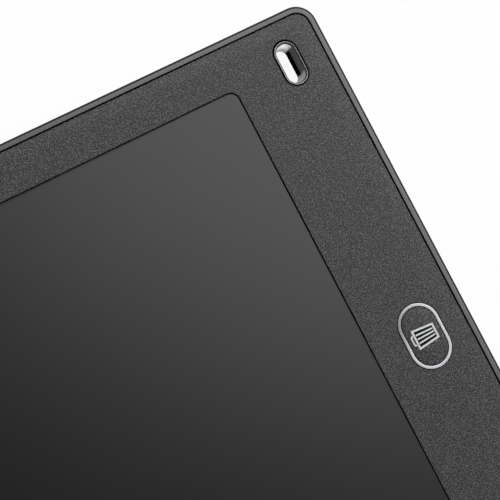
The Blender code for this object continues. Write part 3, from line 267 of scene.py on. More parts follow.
def handling_marks() -> bpy.types.NodeTree:
    """Lay out marks of use: broad smears that change tone and gloss, and rare specks of dust.

    Returns:
        The node group.
    """
    sheet = EffectSheet("handling_marks", "Vector Color Roughness Amount")
    smear_scale, smear_stretch, smear_share = 45.0, (1.0, 0.45, 1.0), 0.5
    speck_scale, speck_edge, dust_share, dust = 2600.0, (0.84, 0.88), 0.2, (0.55, 0.54, 0.52, 1.0)
    vector, amount = sheet.takes["Vector"], sheet.takes["Amount"]
    smear = sheet.noise(sheet.stretch(vector, smear_stretch), smear_scale, detail=3.0,
                        roughness=0.55)
    change = sheet.times(sheet.less(smear, NOISE_MEAN), amount, smear_share)
    speck = sheet.fade(sheet.noise(vector, speck_scale, detail=0.0), *speck_edge)
    smeared = sheet.toned(sheet.takes["Color"], sheet.plus(1.0, change))
    return sheet.give(Color=sheet.mix(sheet.times(speck, amount, dust_share), smeared, dust),
                      Roughness=sheet.plus(sheet.takes["Roughness"], change))


def drawn_lines() -> bpy.types.NodeTree:
    """Lay out the fine lines of drawn, turned or rolled metal: noise squeezed across the lines.

    Returns:
        The node group.
    """
    sheet = EffectSheet("drawn_lines", "Vector Color Size Contrast")
    pitch = sheet.math("DIVIDE", 1.0, sheet.takes["Size"])
    line = sheet.noise(sheet.takes["Vector"], pitch, detail=3.0, roughness=0.7)
    colour = sheet.varied(sheet.takes["Color"], line, sheet.takes["Contrast"])
    return sheet.give(Color=colour, Height=line)


def edge_wear() -> bpy.types.NodeTree:
    """Lay out rubbed edges: a colour that comes in where the rounded normal leaves the face's own.

    Returns:
        The node group.
    """
    sheet = EffectSheet("edge_wear", "Vector Color Rubbed Radius Amount")
    patch_scale, patch_edge, turned = 420.0, (0.42, 0.60), (0.98, 0.80)
    soft = sheet.add("Bevel", {"Radius": sheet.takes["Radius"]}, samples=4).outputs[0]
    same = sheet.measure("DOT_PRODUCT", soft, sheet.add("NewGeometry").outputs["Normal"])
    patch = sheet.noise(sheet.takes["Vector"], patch_scale, detail=3.0, roughness=0.6)
    mask = sheet.times(sheet.fade(same, *turned), sheet.fade(patch, *patch_edge),
                       sheet.takes["Amount"])
    return sheet.give(Color=sheet.mix(mask, sheet.takes["Color"], sheet.takes["Rubbed"]))


GRAIN, MARKS, LINES, WEAR = mould_grain(), handling_marks(), drawn_lines(), edge_wear()


# Finishes. A pattern is the colour below the marks of use and, where the finish has them, a
# height and a metallic share.


@dataclass(frozen=True)
class Finish:
    """A surface: its colour in linear light, how it shines, and the depth of its relief."""

    name: str
    colour: Triple
    roughness: float
    metallic: float = 0.0
    specular: float = 0.5
    marks: float = 0.25
    depth: float = 0.0

    @property
    def rgba(self) -> tuple[float, ...]:
        """The colour with full cover."""
        return (*self.colour, 1.0)

    def pattern(self, sheet: NodeSheet) -> Laid:
        """Return the plain colour."""
        return {"Color": self.rgba}

    def material(self) -> bpy.types.Material:
        """Build the material on the first call: the pattern, with the marks of use over its colour.

        Returns:
            The material.
        """
        made = bpy.data.materials.get(self.name)
        if made is None:
            made = bpy.data.materials.new(self.name)
            made.use_nodes = True
            made.diffuse_color = self.rgba
            sheet = NodeSheet(made.node_tree)
            laid = self.pattern(sheet)
            marks = sheet.effect(MARKS, Vector=sheet.place, Color=laid["Color"],
                                 Roughness=self.roughness, Amount=self.marks)
            values = {"Base Color": marks["Color"], "Roughness": marks["Roughness"],
                      "Metallic": laid.get("Metallic", self.metallic),
                      "Specular IOR Level": self.specular}
            if "Height" in laid:
                values["Normal"] = sheet.bump(laid["Height"], self.depth)
            for name, value in values.items():
                sheet.plug(made.node_tree.nodes["Principled BSDF"], name, value)
        return made


@dataclass(frozen=True)
class GrainedPlastic(Finish):
    """Plastic moulded against a spark-eroded face."""

    depth: float = 0.002 * MM
    grain_size: float = 0.3 * MM
    contrast: float = 0.2
    pits: float = 0.0

    def pattern(self, sheet: NodeSheet) -> Laid:
        """Tint the colour with the grain and lift the surface by it."""
        return sheet.effect(GRAIN, Vector=sheet.place, Color=self.rgba, Size=self.grain_size,
                            Contrast=self.contrast, Pits=self.pits)


@dataclass(frozen=True)
class ShellPlastic(GrainedPlastic):
    """The grained sides of the shell, a little rubbed along their edges."""

    rubbed: Triple = (0.10, 0.10, 0.102)
    reach: float = 0.12 * MM
    wear: float = 0.12

    def pattern(self, sheet: NodeSheet) -> Laid:
        """Grain the colour and lighten the rubbed edges."""
        grain = super().pattern(sheet)
        return grain | sheet.effect(WEAR, Vector=sheet.place, Color=grain["Color"],
                                    Rubbed=(*self.rubbed, 1.0), Radius=self.reach, Amount=self.wear)


@dataclass(frozen=True)
class FilmSurface(GrainedPlastic):
    """The liquid-crystal laminate: a clouded dark layer below a satin top with a fine tooth."""

    tooth_scale: float = 5200.0

    def pattern(self, sheet: NodeSheet) -> Laid:
        """Cloud the dark layer with a broad grain, and lift the top by the tooth."""
        tooth = sheet.noise(sheet.place, self.tooth_scale, detail=1.0)
        return super().pattern(sheet) | {"Height": tooth}


@dataclass(frozen=True)
class PlatedMetal(Finish):
    """Plating over metal or plastic, with faint lines from polishing."""

    depth: float = 0.001 * MM
    line_size: float = 0.05 * MM
    line_scale: Triple = (0.04, 1.0, 1.0)
    contrast: float = 0.25

    def ground(self, sheet: NodeSheet) -> object:
        """Return the colour below the lines."""
        return self.rgba

    def pattern(self, sheet: NodeSheet) -> Laid:
        """Draw the polishing lines in the colour and in a shallow relief."""
        return sheet.effect(LINES, Vector=sheet.stretch(sheet.place, self.line_scale),
                            Color=self.ground(sheet), Size=self.line_size, Contrast=self.contrast)


@dataclass(frozen=True)
class RingPlating(PlatedMetal):
    """Satin plating, with painted shade that darkens a patch on one side."""

    painted_shade: Triple = (0.24, 0.24, 0.25)
    patch: Span = (4.0 * MM, -97.7 * MM)
    reach: float = 7.0 * MM

    def ground(self, sheet: NodeSheet) -> object:
        """Fade from the painted shade colour to the plating's own colour by the level distance from
        the patch.
        """
        away = sheet.measure("DISTANCE", sheet.stretch(sheet.place, (1.0, 1.0, 0.0)),
                             (*self.patch, 0.0))
        return sheet.mix(sheet.fade(away, self.reach, 0.0), self.rgba, (*self.painted_shade, 1.0))


@dataclass(frozen=True)
class BorePlating(PlatedMetal):
    """Plating in the bore, with painted light: a painted reflection brightens one end, painted
    shade darkens the wall, and more painted shade turns it black near the rear.
    """

    painted_shade: Triple = (0.19, 0.19, 0.194)
    deep: Triple = (0.002, 0.002, 0.002)
    ragged: float = 0.6 * MM
    ragged_scale: float = 600.0
    end: Span = (64.8 * MM, 65.5 * MM)
    side: Span = (-105.8 * MM, -104.0 * MM)
    side_least: float = 0.55
    rise: Span = (1.2 * MM, 3.4 * MM)
    rise_least: float = 0.45
    tail: Span = (59.8 * MM, 59.2 * MM)
    tail_share: float = 0.32
    dark: Span = (2.9 * MM, 2.4 * MM)

    def pattern(self, sheet: NodeSheet) -> Laid:
        """Blend the plating by the place along and across the slot and by the depth in the bore,
        into a painted reflection at the ends and painted shade along the wall and deep in the bore.

        Args:
            sheet: Sheet of the material.

        Returns:
            The colour, the metallic share and the height.
        """
        axes = sheet.axes(sheet.place)
        noise = sheet.less(sheet.noise(sheet.place, self.ragged_scale), NOISE_MEAN)
        waver = sheet.times(noise, self.ragged)
        along, height = sheet.plus(axes["X"], waver), sheet.plus(axes["Z"], waver)
        # Painted reflection: brighter, more metallic plating towards the ends, weaker towards -Y
        # and low in the bore.
        painted_reflection = sheet.times(sheet.fade(along, *self.end),
                             sheet.fade(axes["Y"], *self.side, self.side_least),
                             sheet.fade(height, *self.rise, self.rise_least))
        share = sheet.math("MAXIMUM", painted_reflection, sheet.fade(along, *self.tail, 0.0, self.tail_share))
        ends = sheet.plus(sheet.fade(along, *self.end), sheet.fade(along, *self.tail))
        # Painted shade: the wall turns black deep in the bore, away from the two ends.
        black = sheet.times(sheet.fade(height, *self.dark), sheet.less(1.0, ends))
        wall = sheet.mix(share, (*self.painted_shade, 1.0), self.rgba)
        lines = sheet.noise(sheet.stretch(sheet.place, self.line_scale), 1.0 / self.line_size,
                            detail=3.0)
        colour = sheet.mix(black, wall, (*self.deep, 1.0))
        return {"Color": colour, "Metallic": share, "Height": lines}


@dataclass(frozen=True)
class BoardLaminate(Finish):
    """Solder mask over copper traces."""

    depth: float = 0.03 * MM
    trace: Triple = (0.035, 0.19, 0.085)
    trace_edge: Span = (0.30, 0.45)
    rows: float = 5200.0
    columns: float = 3100.0
    wander_scale: float = 160.0
    wander: float = 3.0
    area_scale: float = 110.0
    area_edge: Span = (0.49, 0.50)

    def pattern(self, sheet: NodeSheet) -> Laid:
        """Show the traces as slightly raised, lighter lines along X in some areas and Y in others.

        Args:
            sheet: Sheet of the material.

        Returns:
            The colour and the height.
        """
        axes = sheet.axes(sheet.place)
        wander = sheet.times(sheet.noise(sheet.place, self.wander_scale, detail=0.0), self.wander)
        waves = [sheet.math("SINE", sheet.plus(sheet.times(axes[name], pitch), wander), 0.0)
                 for name, pitch in (("X", self.columns), ("Y", self.rows))]
        area = sheet.fade(sheet.noise(sheet.place, self.area_scale, detail=0.0), *self.area_edge)
        mask = sheet.fade(sheet.between(area, *waves), *self.trace_edge)
        return {"Color": sheet.mix(mask, self.rgba, (*self.trace, 1.0)), "Height": mask}


BEZEL = GrainedPlastic("bezel_grain", (0.0425, 0.0425, 0.0428), 0.453, specular=0.25,
                       depth=0.03 * MM, grain_size=0.25 * MM, contrast=3.75, pits=1.0)
# The shell's own dark plastic; also painted shade on the rounding below the rim and on the plate's
# wall at the lanyard hole.
SIDES = ShellPlastic("shell_sides", (0.016, 0.016, 0.017), 0.80, specular=0.12, depth=0.03 * MM,
                     grain_size=0.6 * MM, contrast=0.8)
# A painted sheen: a lighter colour on the shell's up-facing rim; its satin roughness is real.
SHEEN_RIM = GrainedPlastic("shell_rim_painted_sheen", (0.082, 0.082, 0.084), 0.34, depth=0.0, grain_size=0.9 * MM,
                     contrast=0.12)
REAR = GrainedPlastic("rear_grain", (0.032, 0.032, 0.033), 0.62, specular=0.35, depth=0.05 * MM,
                      grain_size=0.6 * MM, contrast=0.8)
FILM = FilmSurface("film_laminate", (0.0012, 0.0012, 0.00125), 0.396, marks=0.06, depth=0.004 * MM,
                   grain_size=9.0 * MM)
RING = RingPlating("trim_silver", (0.52, 0.525, 0.545), 0.42, metallic=0.35, marks=0.3)
FOIL = PlatedMetal("sign_silver", (0.55, 0.56, 0.575), 0.45, metallic=0.20, marks=0.2)
# Black for the sign's ground, and painted shade on the eyelet's collar and groove.
INLAY_AND_SHADE = Finish("sign_black_and_shade", (0.002, 0.002, 0.002), 0.7, specular=0.1)
LIP = GrainedPlastic("eyelet_lip", (0.05, 0.05, 0.051), 0.45, specular=0.3, depth=0.0)
# A painted highlight: the bright colour of the eyelet bead's highlight line.
BEAD_HIGHLIGHT = PlatedMetal("eyelet_bead_highlight", (0.46, 0.46, 0.465), 0.35, metallic=0.3, marks=0.2)
FLANGE = PlatedMetal("eyelet_flange", (0.60, 0.60, 0.61), 0.32, metallic=1.0, marks=0.2)
# The light colour of the bore's painted reflection.
BORE = BorePlating("eyelet_bore", (0.88, 0.88, 0.89), 0.25, specular=0.0, marks=0.2,
                   line_scale=(1.0, 1.0, 0.1))
BARREL = PlatedMetal("anodised_barrel", (0.60, 0.60, 0.61), 0.32, metallic=1.0, line_size=0.03 * MM,
                     contrast=0.18)
STEEL = PlatedMetal("plated_steel", (0.46, 0.46, 0.47), 0.30, metallic=1.0, line_size=0.2 * MM,
                    line_scale=(1.0, 1.0, 1.0))
CELL = PlatedMetal("cell_steel", (0.58, 0.58, 0.58), 0.26, metallic=1.0, contrast=0.12)
GOLD = PlatedMetal("contact_gold", (0.60, 0.43, 0.15), 0.28, metallic=1.0)
TIN = PlatedMetal("solder_tin", (0.55, 0.55, 0.56), 0.36, metallic=1.0, line_size=0.3 * MM,
                  line_scale=(1.0, 1.0, 1.0))
BLACK = GrainedPlastic("black_moulding", (0.016, 0.016, 0.017), 0.55, depth=0.004 * MM,
                       grain_size=0.12 * MM, contrast=0.5)
NIB = GrainedPlastic("nib_plastic", (0.012, 0.012, 0.012), 0.38)
CERAMIC = GrainedPlastic("ceramic_body", (0.40, 0.29, 0.18), 0.5, grain_size=0.15 * MM,
                         contrast=0.3)
HOUSING = GrainedPlastic("connector_housing", (0.62, 0.58, 0.48), 0.5, grain_size=0.2 * MM,
                         contrast=0.1)
LEAD = PlatedMetal("amber_lead", (0.42, 0.17, 0.04), 0.38, line_size=0.35 * MM,
                   line_scale=(1.0, 0.01, 0.01), contrast=0.9)
TAPE = Finish("foam_tape", (0.012, 0.012, 0.012), 0.85, specular=0.2)
BOARD = BoardLaminate("green_board", (0.018, 0.115, 0.048), 0.42)


# Shapes


def joined(*columns: object) -> Array:
    """Return places whose coordinates are the columns, each stretched to their common shape."""
    return np.stack(np.broadcast_arrays(*columns), axis=-1)


def grid_faces(grid: Array, round_rows: bool = False, start: int = 0) -> list[list[int]]:
    """Number the faces of a grid whose rows close on themselves.

    Quads join neighbouring rows. The first and last row are capped unless they join each other.

    Args:
        grid: Places as rows by columns by three.
        round_rows: Whether the last row joins the first.
        start: Number of the grid's first point.

    Returns:
        Lists of point numbers.
    """
    rows, columns = grid.shape[:2]
    number = start + np.arange(rows * columns).reshape(rows, columns)
    above = np.roll(number, -1, axis=0)
    quads = joined(number, np.roll(number, -1, axis=1), np.roll(above, -1, axis=1), above)
    if round_rows:
        return quads.reshape(-1, 4).tolist()
    return quads[:-1].reshape(-1, 4).tolist() + [number[0, ::-1].tolist(), number[-1].tolist()]


def finish_piece(name: str, points: Array, faces: list[list[int]], finish: Finish,
                 sharp: float = 35.0, weld: bool = True) -> Object:
    """Make an object from points and faces, with its normals outwards and its sharp edges marked.

    Args:
        name: Name of the object and its mesh.
        points: Places in metres.
        faces: Lists of point numbers.
        finish: The finish of the whole piece.
        sharp: Angle in degrees above which an edge is sharp.
        weld: Whether points that coincide are merged first.

    Returns:
        The object, linked into the scene at the origin.
    """
    mesh = bpy.data.meshes.new(name)
    mesh.from_pydata(points.reshape(-1, 3).tolist(), [], faces)
    sheet = bmesh.new()
    sheet.from_mesh(mesh)
    if weld:
        bmesh.ops.remove_doubles(sheet, verts=sheet.verts, dist=WELD)
    bmesh.ops.recalc_face_normals(sheet, faces=sheet.faces)
    sheet.to_mesh(mesh)
    sheet.free()
    mesh.shade_smooth()
    mesh.set_sharp_from_angle(angle=math.radians(sharp))
    mesh.materials.append(finish.material())
    return linked(name, mesh)


def linked(name: str, data: bpy.types.ID) -> Object:
    """Link a new object into the scene.

    Args:
        name: Its name.
        data: Its mesh, light or camera.

    Returns:
        The object.
    """
    made = bpy.data.objects.new(name, data)
    bpy.context.scene.collection.objects.link(made)
    return made


def skin(name: str, grid: Array, finish: Finish, round_rows: bool = False,
         sharp: float = 35.0) -> Object:
    """Return an object skinned over one grid, capped unless its last row joins the first."""
    return finish_piece(name, grid, grid_faces(grid, round_rows), finish, sharp)


@dataclass(frozen=True)
class RoundedOutline:
    """A rectangle with round corners. Its length lies along X and its width along Y."""

    length: float
    width: float
    radius: float
    centre: Span = (0.0, 0.0)
    steps: int = 14

    @classmethod
    def of_node(cls, node: str, radius: float | None = None, steps: int = 14) -> RoundedOutline:
        """Take the outline that a node fills.

        Args:
            node: The node.
            radius: Radius of the corners. An obround has none given.
            steps: Steps in a corner.

        Returns:
            The outline.
        """
        low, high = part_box(node)
        size, middle = high - low, (low + high) / 2
        half = min(size.x, size.y) / 2
        return cls(size.x, size.y, half if radius is None else radius, (middle.x, middle.y), steps)

    def rings(self, insets: Array) -> Array:
        """Draw the outline once for each inset.

        A point is a corner's centre plus the corner's radius along the direction of the turn.
        The inset moves the sides inwards and shortens the radius down to nothing.

        Args:
            insets: How far each ring is drawn in, negative where it grows.

        Returns:
            Places as rings by points by two.
        """
        quarter = np.repeat(np.arange(4), self.steps + 1)
        turn = (np.tile(np.linspace(0, 1, self.steps + 1), 4) + quarter) * math.pi / 2
        sign = np.array([(1, 1), (-1, 1), (-1, -1), (1, -1)])[quarter]
        insets = insets[:, None, None]
        corner = np.clip(self.radius - insets, 0, None)
        half = np.array([self.length / 2, self.width / 2]) - insets
        way = joined(np.cos(turn), np.sin(turn))
        return np.array(self.centre) + sign * (half - corner) + corner * way

    def sweep(self, profile: Array) -> Array:
        """Return the grid of places of a profile of (inset, height) that goes round the outline."""
        flat = self.rings(profile[:, 0])
        return joined(flat[..., 0], flat[..., 1], profile[:, 1:])


def arc(centre: Span, radius: float, start: float, end: float, steps: int = 4) -> Array:
    """Return the centre plus the radius along angles from start to end, in degrees."""
    angle = np.radians(np.linspace(start, end, steps + 1))
    return np.array(centre) + radius * joined(np.cos(angle), np.sin(angle))


def path(*stretches: object) -> Array:
    """Join points and arcs into one array of profile points."""
    return np.concatenate([np.atleast_2d(np.asarray(stretch, float)) for stretch in stretches])


def turned_grid(profile: Array, centre: Sequence[float], axis: str, steps: int = 48) -> Array:
    """Turn a profile about an axis.

    Each profile point gives a circle: its distance along the axis, and its radius times
    the cosine and sine of the turn across it.

    Args:
        profile: Points of (distance along, radius).
        centre: A place on the axis.
        axis: The axis, "X" or "Z".
        steps: Points on a circle.

    Returns:
        Places as circles by points by three.
    """
    turn = np.arange(steps) * 2 * math.pi / steps
    along, radius = profile[:, :1], profile[:, 1:]
    across, beside = radius * np.cos(turn), radius * np.sin(turn)
    order = (along, across, beside) if axis == "X" else (across, beside, along)
    return np.array(centre) + joined(*order)


def smooth_step(value: Array) -> Array:
    """Return 0 below nought, 1 above one, and three squares less two cubes between them."""
    held = np.clip(value, 0, 1)
    return held * held * (3 - 2 * held)


def cross_mask(x: Array, y: Array, half_wide: float, half_long: float, soft: float) -> Array:
    """Draw a cross of two equal arms: 1 inside, falling to 0 at its edges over the soft distance.

    Args:
        x: Places along one arm, from the middle of the cross.
        y: Places along the other.
        half_wide: Half the width of an arm.
        half_long: Half its length.
        soft: Distance of the fall.

    Returns:
        The mask, for each place the larger value of the two arms.
    """
    wide_x, wide_y = (smooth_step((half_wide - np.abs(value)) / soft) for value in (x, y))
    long_x, long_y = (smooth_step((half_long - np.abs(value)) / soft) for value in (x, y))
    return np.maximum(wide_x * long_y, wide_y * long_x)


def stroke_grid(line: Array, width: Array, low: float, high: float, closed: bool) -> Array:
    """Give a flat line a width and a thickness.

    At each point the offset is half the width along the mitred normal, and the four
    corners go from the low outside over the top to the low inside.

    Args:
        line: Points of the middle line.
        width: Width at each point.
        low: Height of the underside.
        high: Height of the top.
        closed: Whether the line is a loop.

    Returns:
        Places as line points by four corners by three.
    """
    ahead = np.roll(line, -1, axis=0) - line
    behind = line - np.roll(line, 1, axis=0)
    if not closed:
        ahead[-1], behind[0] = behind[-1], ahead[0]
    ahead /= np.linalg.norm(ahead, axis=1, keepdims=True)
    behind /= np.linalg.norm(behind, axis=1, keepdims=True)
    normal = joined(-(ahead + behind)[:, 1], (ahead + behind)[:, 0])
    normal /= np.linalg.norm(normal, axis=1, keepdims=True)
    lean = normal[:, 1] * ahead[:, 0] - normal[:, 0] * ahead[:, 1]
    offset = normal * (width / 2 / lean)[:, None]
    sides = np.stack([line + offset, line + offset, line - offset, line - offset], axis=1)
    return joined(sides[..., 0], sides[..., 1], [low, high, high, low])


# Joining pieces to the frame

BODY_OF = {node: body for body, nodes in frame["record"]["behaviour"]["bodies"].items()
           for node in nodes}


def corners(node: str) -> tuple[Array, Array]:
    """Return the lowest and the highest corner of a node's box."""
    low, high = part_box(node)
    return np.array(low), np.array(high)


def go_with(piece: Object, node: str) -> Object:
    """Let an added piece ride on a node's body.

    Args:
        piece: The piece.
        node: The node.

    Returns:
        The piece.
    """
    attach(piece, BODY_OF[node])
    return piece


def stand_in(piece: Object, node: str) -> Object:
    """Let a piece stand for a node, and go with it."""
    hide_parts(node)
    return go_with(piece, node)


def dress(node: str, finish: Finish) -> Object:
    """Give a node that keeps its own shape a finish.

    Args:
        node: The node.
        finish: Its finish.

    Returns:
        The node's object.
    """
    shown = frame["nodes"][node]
    shown.data.materials.clear()
    shown.data.materials.append(finish.material())
    return shown


def read(items: bpy.types.bpy_prop_collection, value: str, width: int = 3,
         kind: type = np.float32) -> Array:
    """Read one value of every item.

    Args:
        items: The points, corners or faces of a mesh.
        value: Blender's name of the value.
        width: How many numbers it has.
        kind: Type of the numbers.

    Returns:
        An array with a row for each item.
    """
    found = np.empty(len(items) * width, kind)
    items.foreach_get(value, found)
    return found.reshape(-1, width)


def smooth_copy(node: str, name: str, finish: Finish, sharp: float = 30.0,
                reshape: Callable[[Array], Array] | None = None) -> Object:
    """Copy a node's loose triangles into a welded, smooth mesh, and let it stand for the node.

    Args:
        node: The node to copy.
        name: Name of the copy.
        finish: Its finish.
        sharp: Angle in degrees above which an edge is sharp.
        reshape: A function that moves the copied points.

    Returns:
        The copy.
    """
    source = frame["nodes"][node].data
    points = read(source.vertices, "co").astype(float)
    faces = read(source.loops, "vertex_index", 1, np.int32).reshape(-1, 3).tolist()
    if reshape:
        points = reshape(points)
    return stand_in(finish_piece(name, points, faces, finish, sharp), node)


def paint_faces(piece: Object, chosen: Array, finish: Finish) -> None:
    """Give the chosen faces of a piece a finish of their own.

    Args:
        piece: The piece.
        chosen: A mask with one value a face.
        finish: The finish of the chosen faces.
    """
    mesh = piece.data
    mesh.materials.append(finish.material())
    index = read(mesh.polygons, "material_index", 1, np.int32).ravel()
    index[chosen] = len(mesh.materials) - 1
    mesh.polygons.foreach_set("material_index", index)


# Sub-assemblies. Each build method returns its pieces.


@dataclass
class Casing:
    """The rear shell and the bezel plate that lies in its rim."""

    sharp: float = 32.0
    rim_depth: float = 0.1 * MM
    rim_slope: float = 0.99
    rear_slope: float = -0.5
    hole_reach: float = 1.0 * MM
    wall_slope: float = 0.9
    lit_wall: float = 0.8

    def build(self) -> Pieces:
        """Copy both, and paint the rim, the rear and the plate's wall at the lanyard hole: the
        rim's lighter colour is a painted sheen, the darker plastic left on the shell's rounding is
        painted shade, and the dark wall at the hole is painted shade.

        Returns:
            The shell and the plate.
        """
        shell = smooth_copy("rear_shell", "tray_shell", SIDES, self.sharp)
        normals, centres = (read(shell.data.polygons, value) for value in ("normal", "center"))
        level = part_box("rear_shell")[1].z - self.rim_depth
        # Painted sheen and shade: the up-facing rim takes a lighter colour, and the rounding below
        # it keeps the darker side plastic as painted shade.
        paint_faces(shell, (normals[:, 2] > self.rim_slope) & (centres[:, 2] > level), SHEEN_RIM)
        paint_faces(shell, normals[:, 2] < self.rear_slope, REAR)
        plate = smooth_copy("front_panel", "bezel_plate", BEZEL, self.sharp)
        normals, centres = (read(plate.data.polygons, value) for value in ("normal", "center"))
        low, high = corners("lanyard_eyelet")
        near = (centres > low - self.hole_reach) & (centres < high + self.hole_reach)
        wall = (normals[:, 2] < self.wall_slope) & (normals[:, 1] < self.lit_wall)
        # Painted shade: the plate's wall at the lanyard hole takes the dark side plastic, except
        # where it faces +Y, to darken the gap round the eyelet.
        paint_faces(plate, near[:, :2].all(axis=1) & wall, SIDES)
        return [shell, plate]


@dataclass
class Screen:
    """The writing film with what lies behind it."""

    edge: float = 0.06 * MM
    corner: float = 1.8 * MM
    steps: int = 20

    def build(self) -> Pieces:
        """Sweep the film's rounded edge round its outline, and dress the nodes below it.

        Returns:
            The film and those nodes.
        """
        low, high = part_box("writing_film")
        edge = self.edge
        profile = path(arc((edge, low.z + edge), edge, 270, 180),
                       arc((edge, high.z - edge), edge, 180, 90))
        outline = RoundedOutline.of_node("writing_film", self.corner, self.steps)
        film = stand_in(skin("film_sheet", outline.sweep(profile), FILM), "writing_film")
        return [film, dress("film_tape", TAPE), dress("film_backer", BLACK),
                dress("film_tail", LEAD)]


@dataclass
class BinSign:
    """A plain waste-bin sign: a tapered frame, three bars and a handle, raised on the button."""

    lid_width: float = 4.21 * MM
    foot_width: float = 3.26 * MM
    height: float = 4.94 * MM
    frame_width: float = 0.41 * MM
    bar_width: float = 0.34 * MM
    bar_taper: float = 0.92
    bar_gap: float = 0.14 * MM
    bar_share: float = 0.525
    handle_width: float = 2.22 * MM
    handle_reach: float = 0.68 * MM
    handle_line: float = 0.32 * MM
    handle_bend: float = 0.25 * MM
    shift: Span = (0.05 * MM, -0.20 * MM)
    inlay_height: float = 0.012 * MM
    sign_height: float = 0.035 * MM
    sunk: float = 0.02 * MM
    bevel: float = 0.012 * MM
    bevel_segments: int = 2

    def frame_line(self, inset: float) -> Array:
        """Draw the tapered frame, whose sides move in by the inset along their own normals.

        Args:
            inset: How far the line lies inside the frame's outer edge.

        Returns:
            Its four corners.
        """
        top = self.height / 2 - inset
        slope = (self.lid_width - self.foot_width) / 2 / self.height
        side = inset * math.hypot(1, slope)
        at_top = self.lid_width / 2 - slope * inset - side
        at_foot = self.foot_width / 2 + slope * inset - side
        return np.array([(at_top, top), (-at_top, top), (-at_foot, -top), (at_foot, -top)])

    def handle_path(self) -> Array:
        """Draw the handle's middle line: up from the lid, round two corners, and down again.

        Returns:
            Its points.
        """
        bend = self.handle_bend
        half = (self.handle_width - self.handle_line) / 2
        base = (self.height - self.handle_line) / 2
        reach = base + self.handle_reach
        return path((half, base), arc((half - bend, reach - bend), bend, 0, 90),
                    arc((bend - half, reach - bend), bend, 90, 180), (-half, base))

    def bars(self) -> list[Array]:
        """Draw the bars, which lean in towards the foot as the sides do.

        Returns:
            Their middle lines.
        """
        inner = self.frame_line(self.frame_width)
        top, foot = inner[0, 1] - self.bar_gap, inner[3, 1] + self.bar_gap
        return [np.array([(share * inner[0, 0], top), (share * inner[3, 0], foot)])
                for share in self.bar_share * np.arange(-1, 2)]

    def build(self, node: str) -> Pieces:
        """Build the sign on top of a node.

        Args:
            node: The node.

        Returns:
            Its black ground and its silver lines.
        """
        low, high = corners(node)
        centre = (low + high)[:2] / 2 + self.shift
        base, top = high[2] - self.sunk, high[2] + self.sign_height
        outline = self.frame_line(self.frame_width / 2) + centre
        ground = joined(outline[:, 0], outline[:, 1], [[base], [high[2] + self.inlay_height]])
        inlay = skin("bin_sign_ground", ground, INLAY_AND_SHADE)
        strokes = [(outline, self.frame_width, True),
                   (self.handle_path() + centre, self.handle_line, False)]
        bar = self.bar_width * np.array([1.0, self.bar_taper])
        strokes += [(line + centre, bar, False) for line in self.bars()]
        points, faces = [], []
        for line, width, closed in strokes:
            grid = stroke_grid(line, np.broadcast_to(width, len(line)), base, top, closed)
            faces += grid_faces(grid, closed, sum(map(len, points)))
            points.append(grid.reshape(-1, 3))
        lines = finish_piece("bin_sign_lines", np.concatenate(points), faces, FOIL, weld=False)
        bevel = lines.modifiers.new("soft_edges", "BEVEL")
        bevel.width, bevel.segments = self.bevel, self.bevel_segments
        return [go_with(inlay, node), go_with(lines, node)]


@dataclass
class EraseButton:
    """The trim ring, the button and its sign, and the push switch below."""

    ring_wall: float = 0.6 * MM
    ring_edge: float = 0.05 * MM
    ring_crown: float = 0.01 * MM
    ring_steps: int = 24
    edge_steps: int = 5
    crown_steps: int = 8
    cap_growth: float = 0.13 * MM
    cap_skin: float = 0.25 * MM
    flange_height: float = 0.6 * MM

    def ring(self) -> Object:
        """Build the trim ring, whose top is a shallow parabola between two rounded edges.

        Returns:
            The ring.
        """
        low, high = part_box("button_ring")
        edge, wall = self.ring_edge, self.ring_wall
        shoulder = high.z - self.ring_crown - edge
        share = np.linspace(0, 1, self.crown_steps + 1)[1:-1]
        crown = joined(edge + share * (wall - 2 * edge),
                       high.z - self.ring_crown * (2 * share - 1) ** 2)
        profile = path((0, low.z), arc((edge, shoulder), edge, 180, 90, self.edge_steps), crown,
                       arc((wall - edge, shoulder), edge, 90, 0, self.edge_steps), (wall, low.z))
        outline = RoundedOutline.of_node("button_ring", steps=self.ring_steps)
        ring = skin("trim_ring", outline.sweep(profile), RING, round_rows=True)
        return stand_in(ring, "button_ring")

    def grown(self, points: Array) -> Array:
        """Move the sides of the button a little closer to the ring.

        The distance of a point is taken from the straight middle line of the obround. Points
        above the flange that lie near the largest such distance move away from that line.

        Args:
            points: Places of the node's points.

        Returns:
            The moved places.
        """
        low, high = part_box("erase_button")
        flat = points[:, :2] - np.array((low + high) / 2)[:2]
        above = points[:, 2] > low.z + self.flange_height
        half = np.abs(flat[above]).max(axis=0)
        line = half[0] - half[1]
        away = flat - joined(np.clip(flat[:, 0], -line, line), 0.0)
        distance = np.linalg.norm(away, axis=1)
        moving = above & (distance > half[1] - self.cap_skin)
        moved = points.copy()
        moved[moving, :2] += self.cap_growth * away[moving] / distance[moving, None]
        return moved

    def build(self) -> Pieces:
        """Return the ring, the cap, the sign and the switch."""
        return [self.ring(), smooth_copy("erase_button", "button_cap", BEZEL, reshape=self.grown),
                *BinSign().build("erase_button"),
                smooth_copy("erase_switch_base", "erase_switch_base_body", BLACK),
                smooth_copy("erase_switch_plunger", "switch_plunger_pin", STEEL)]


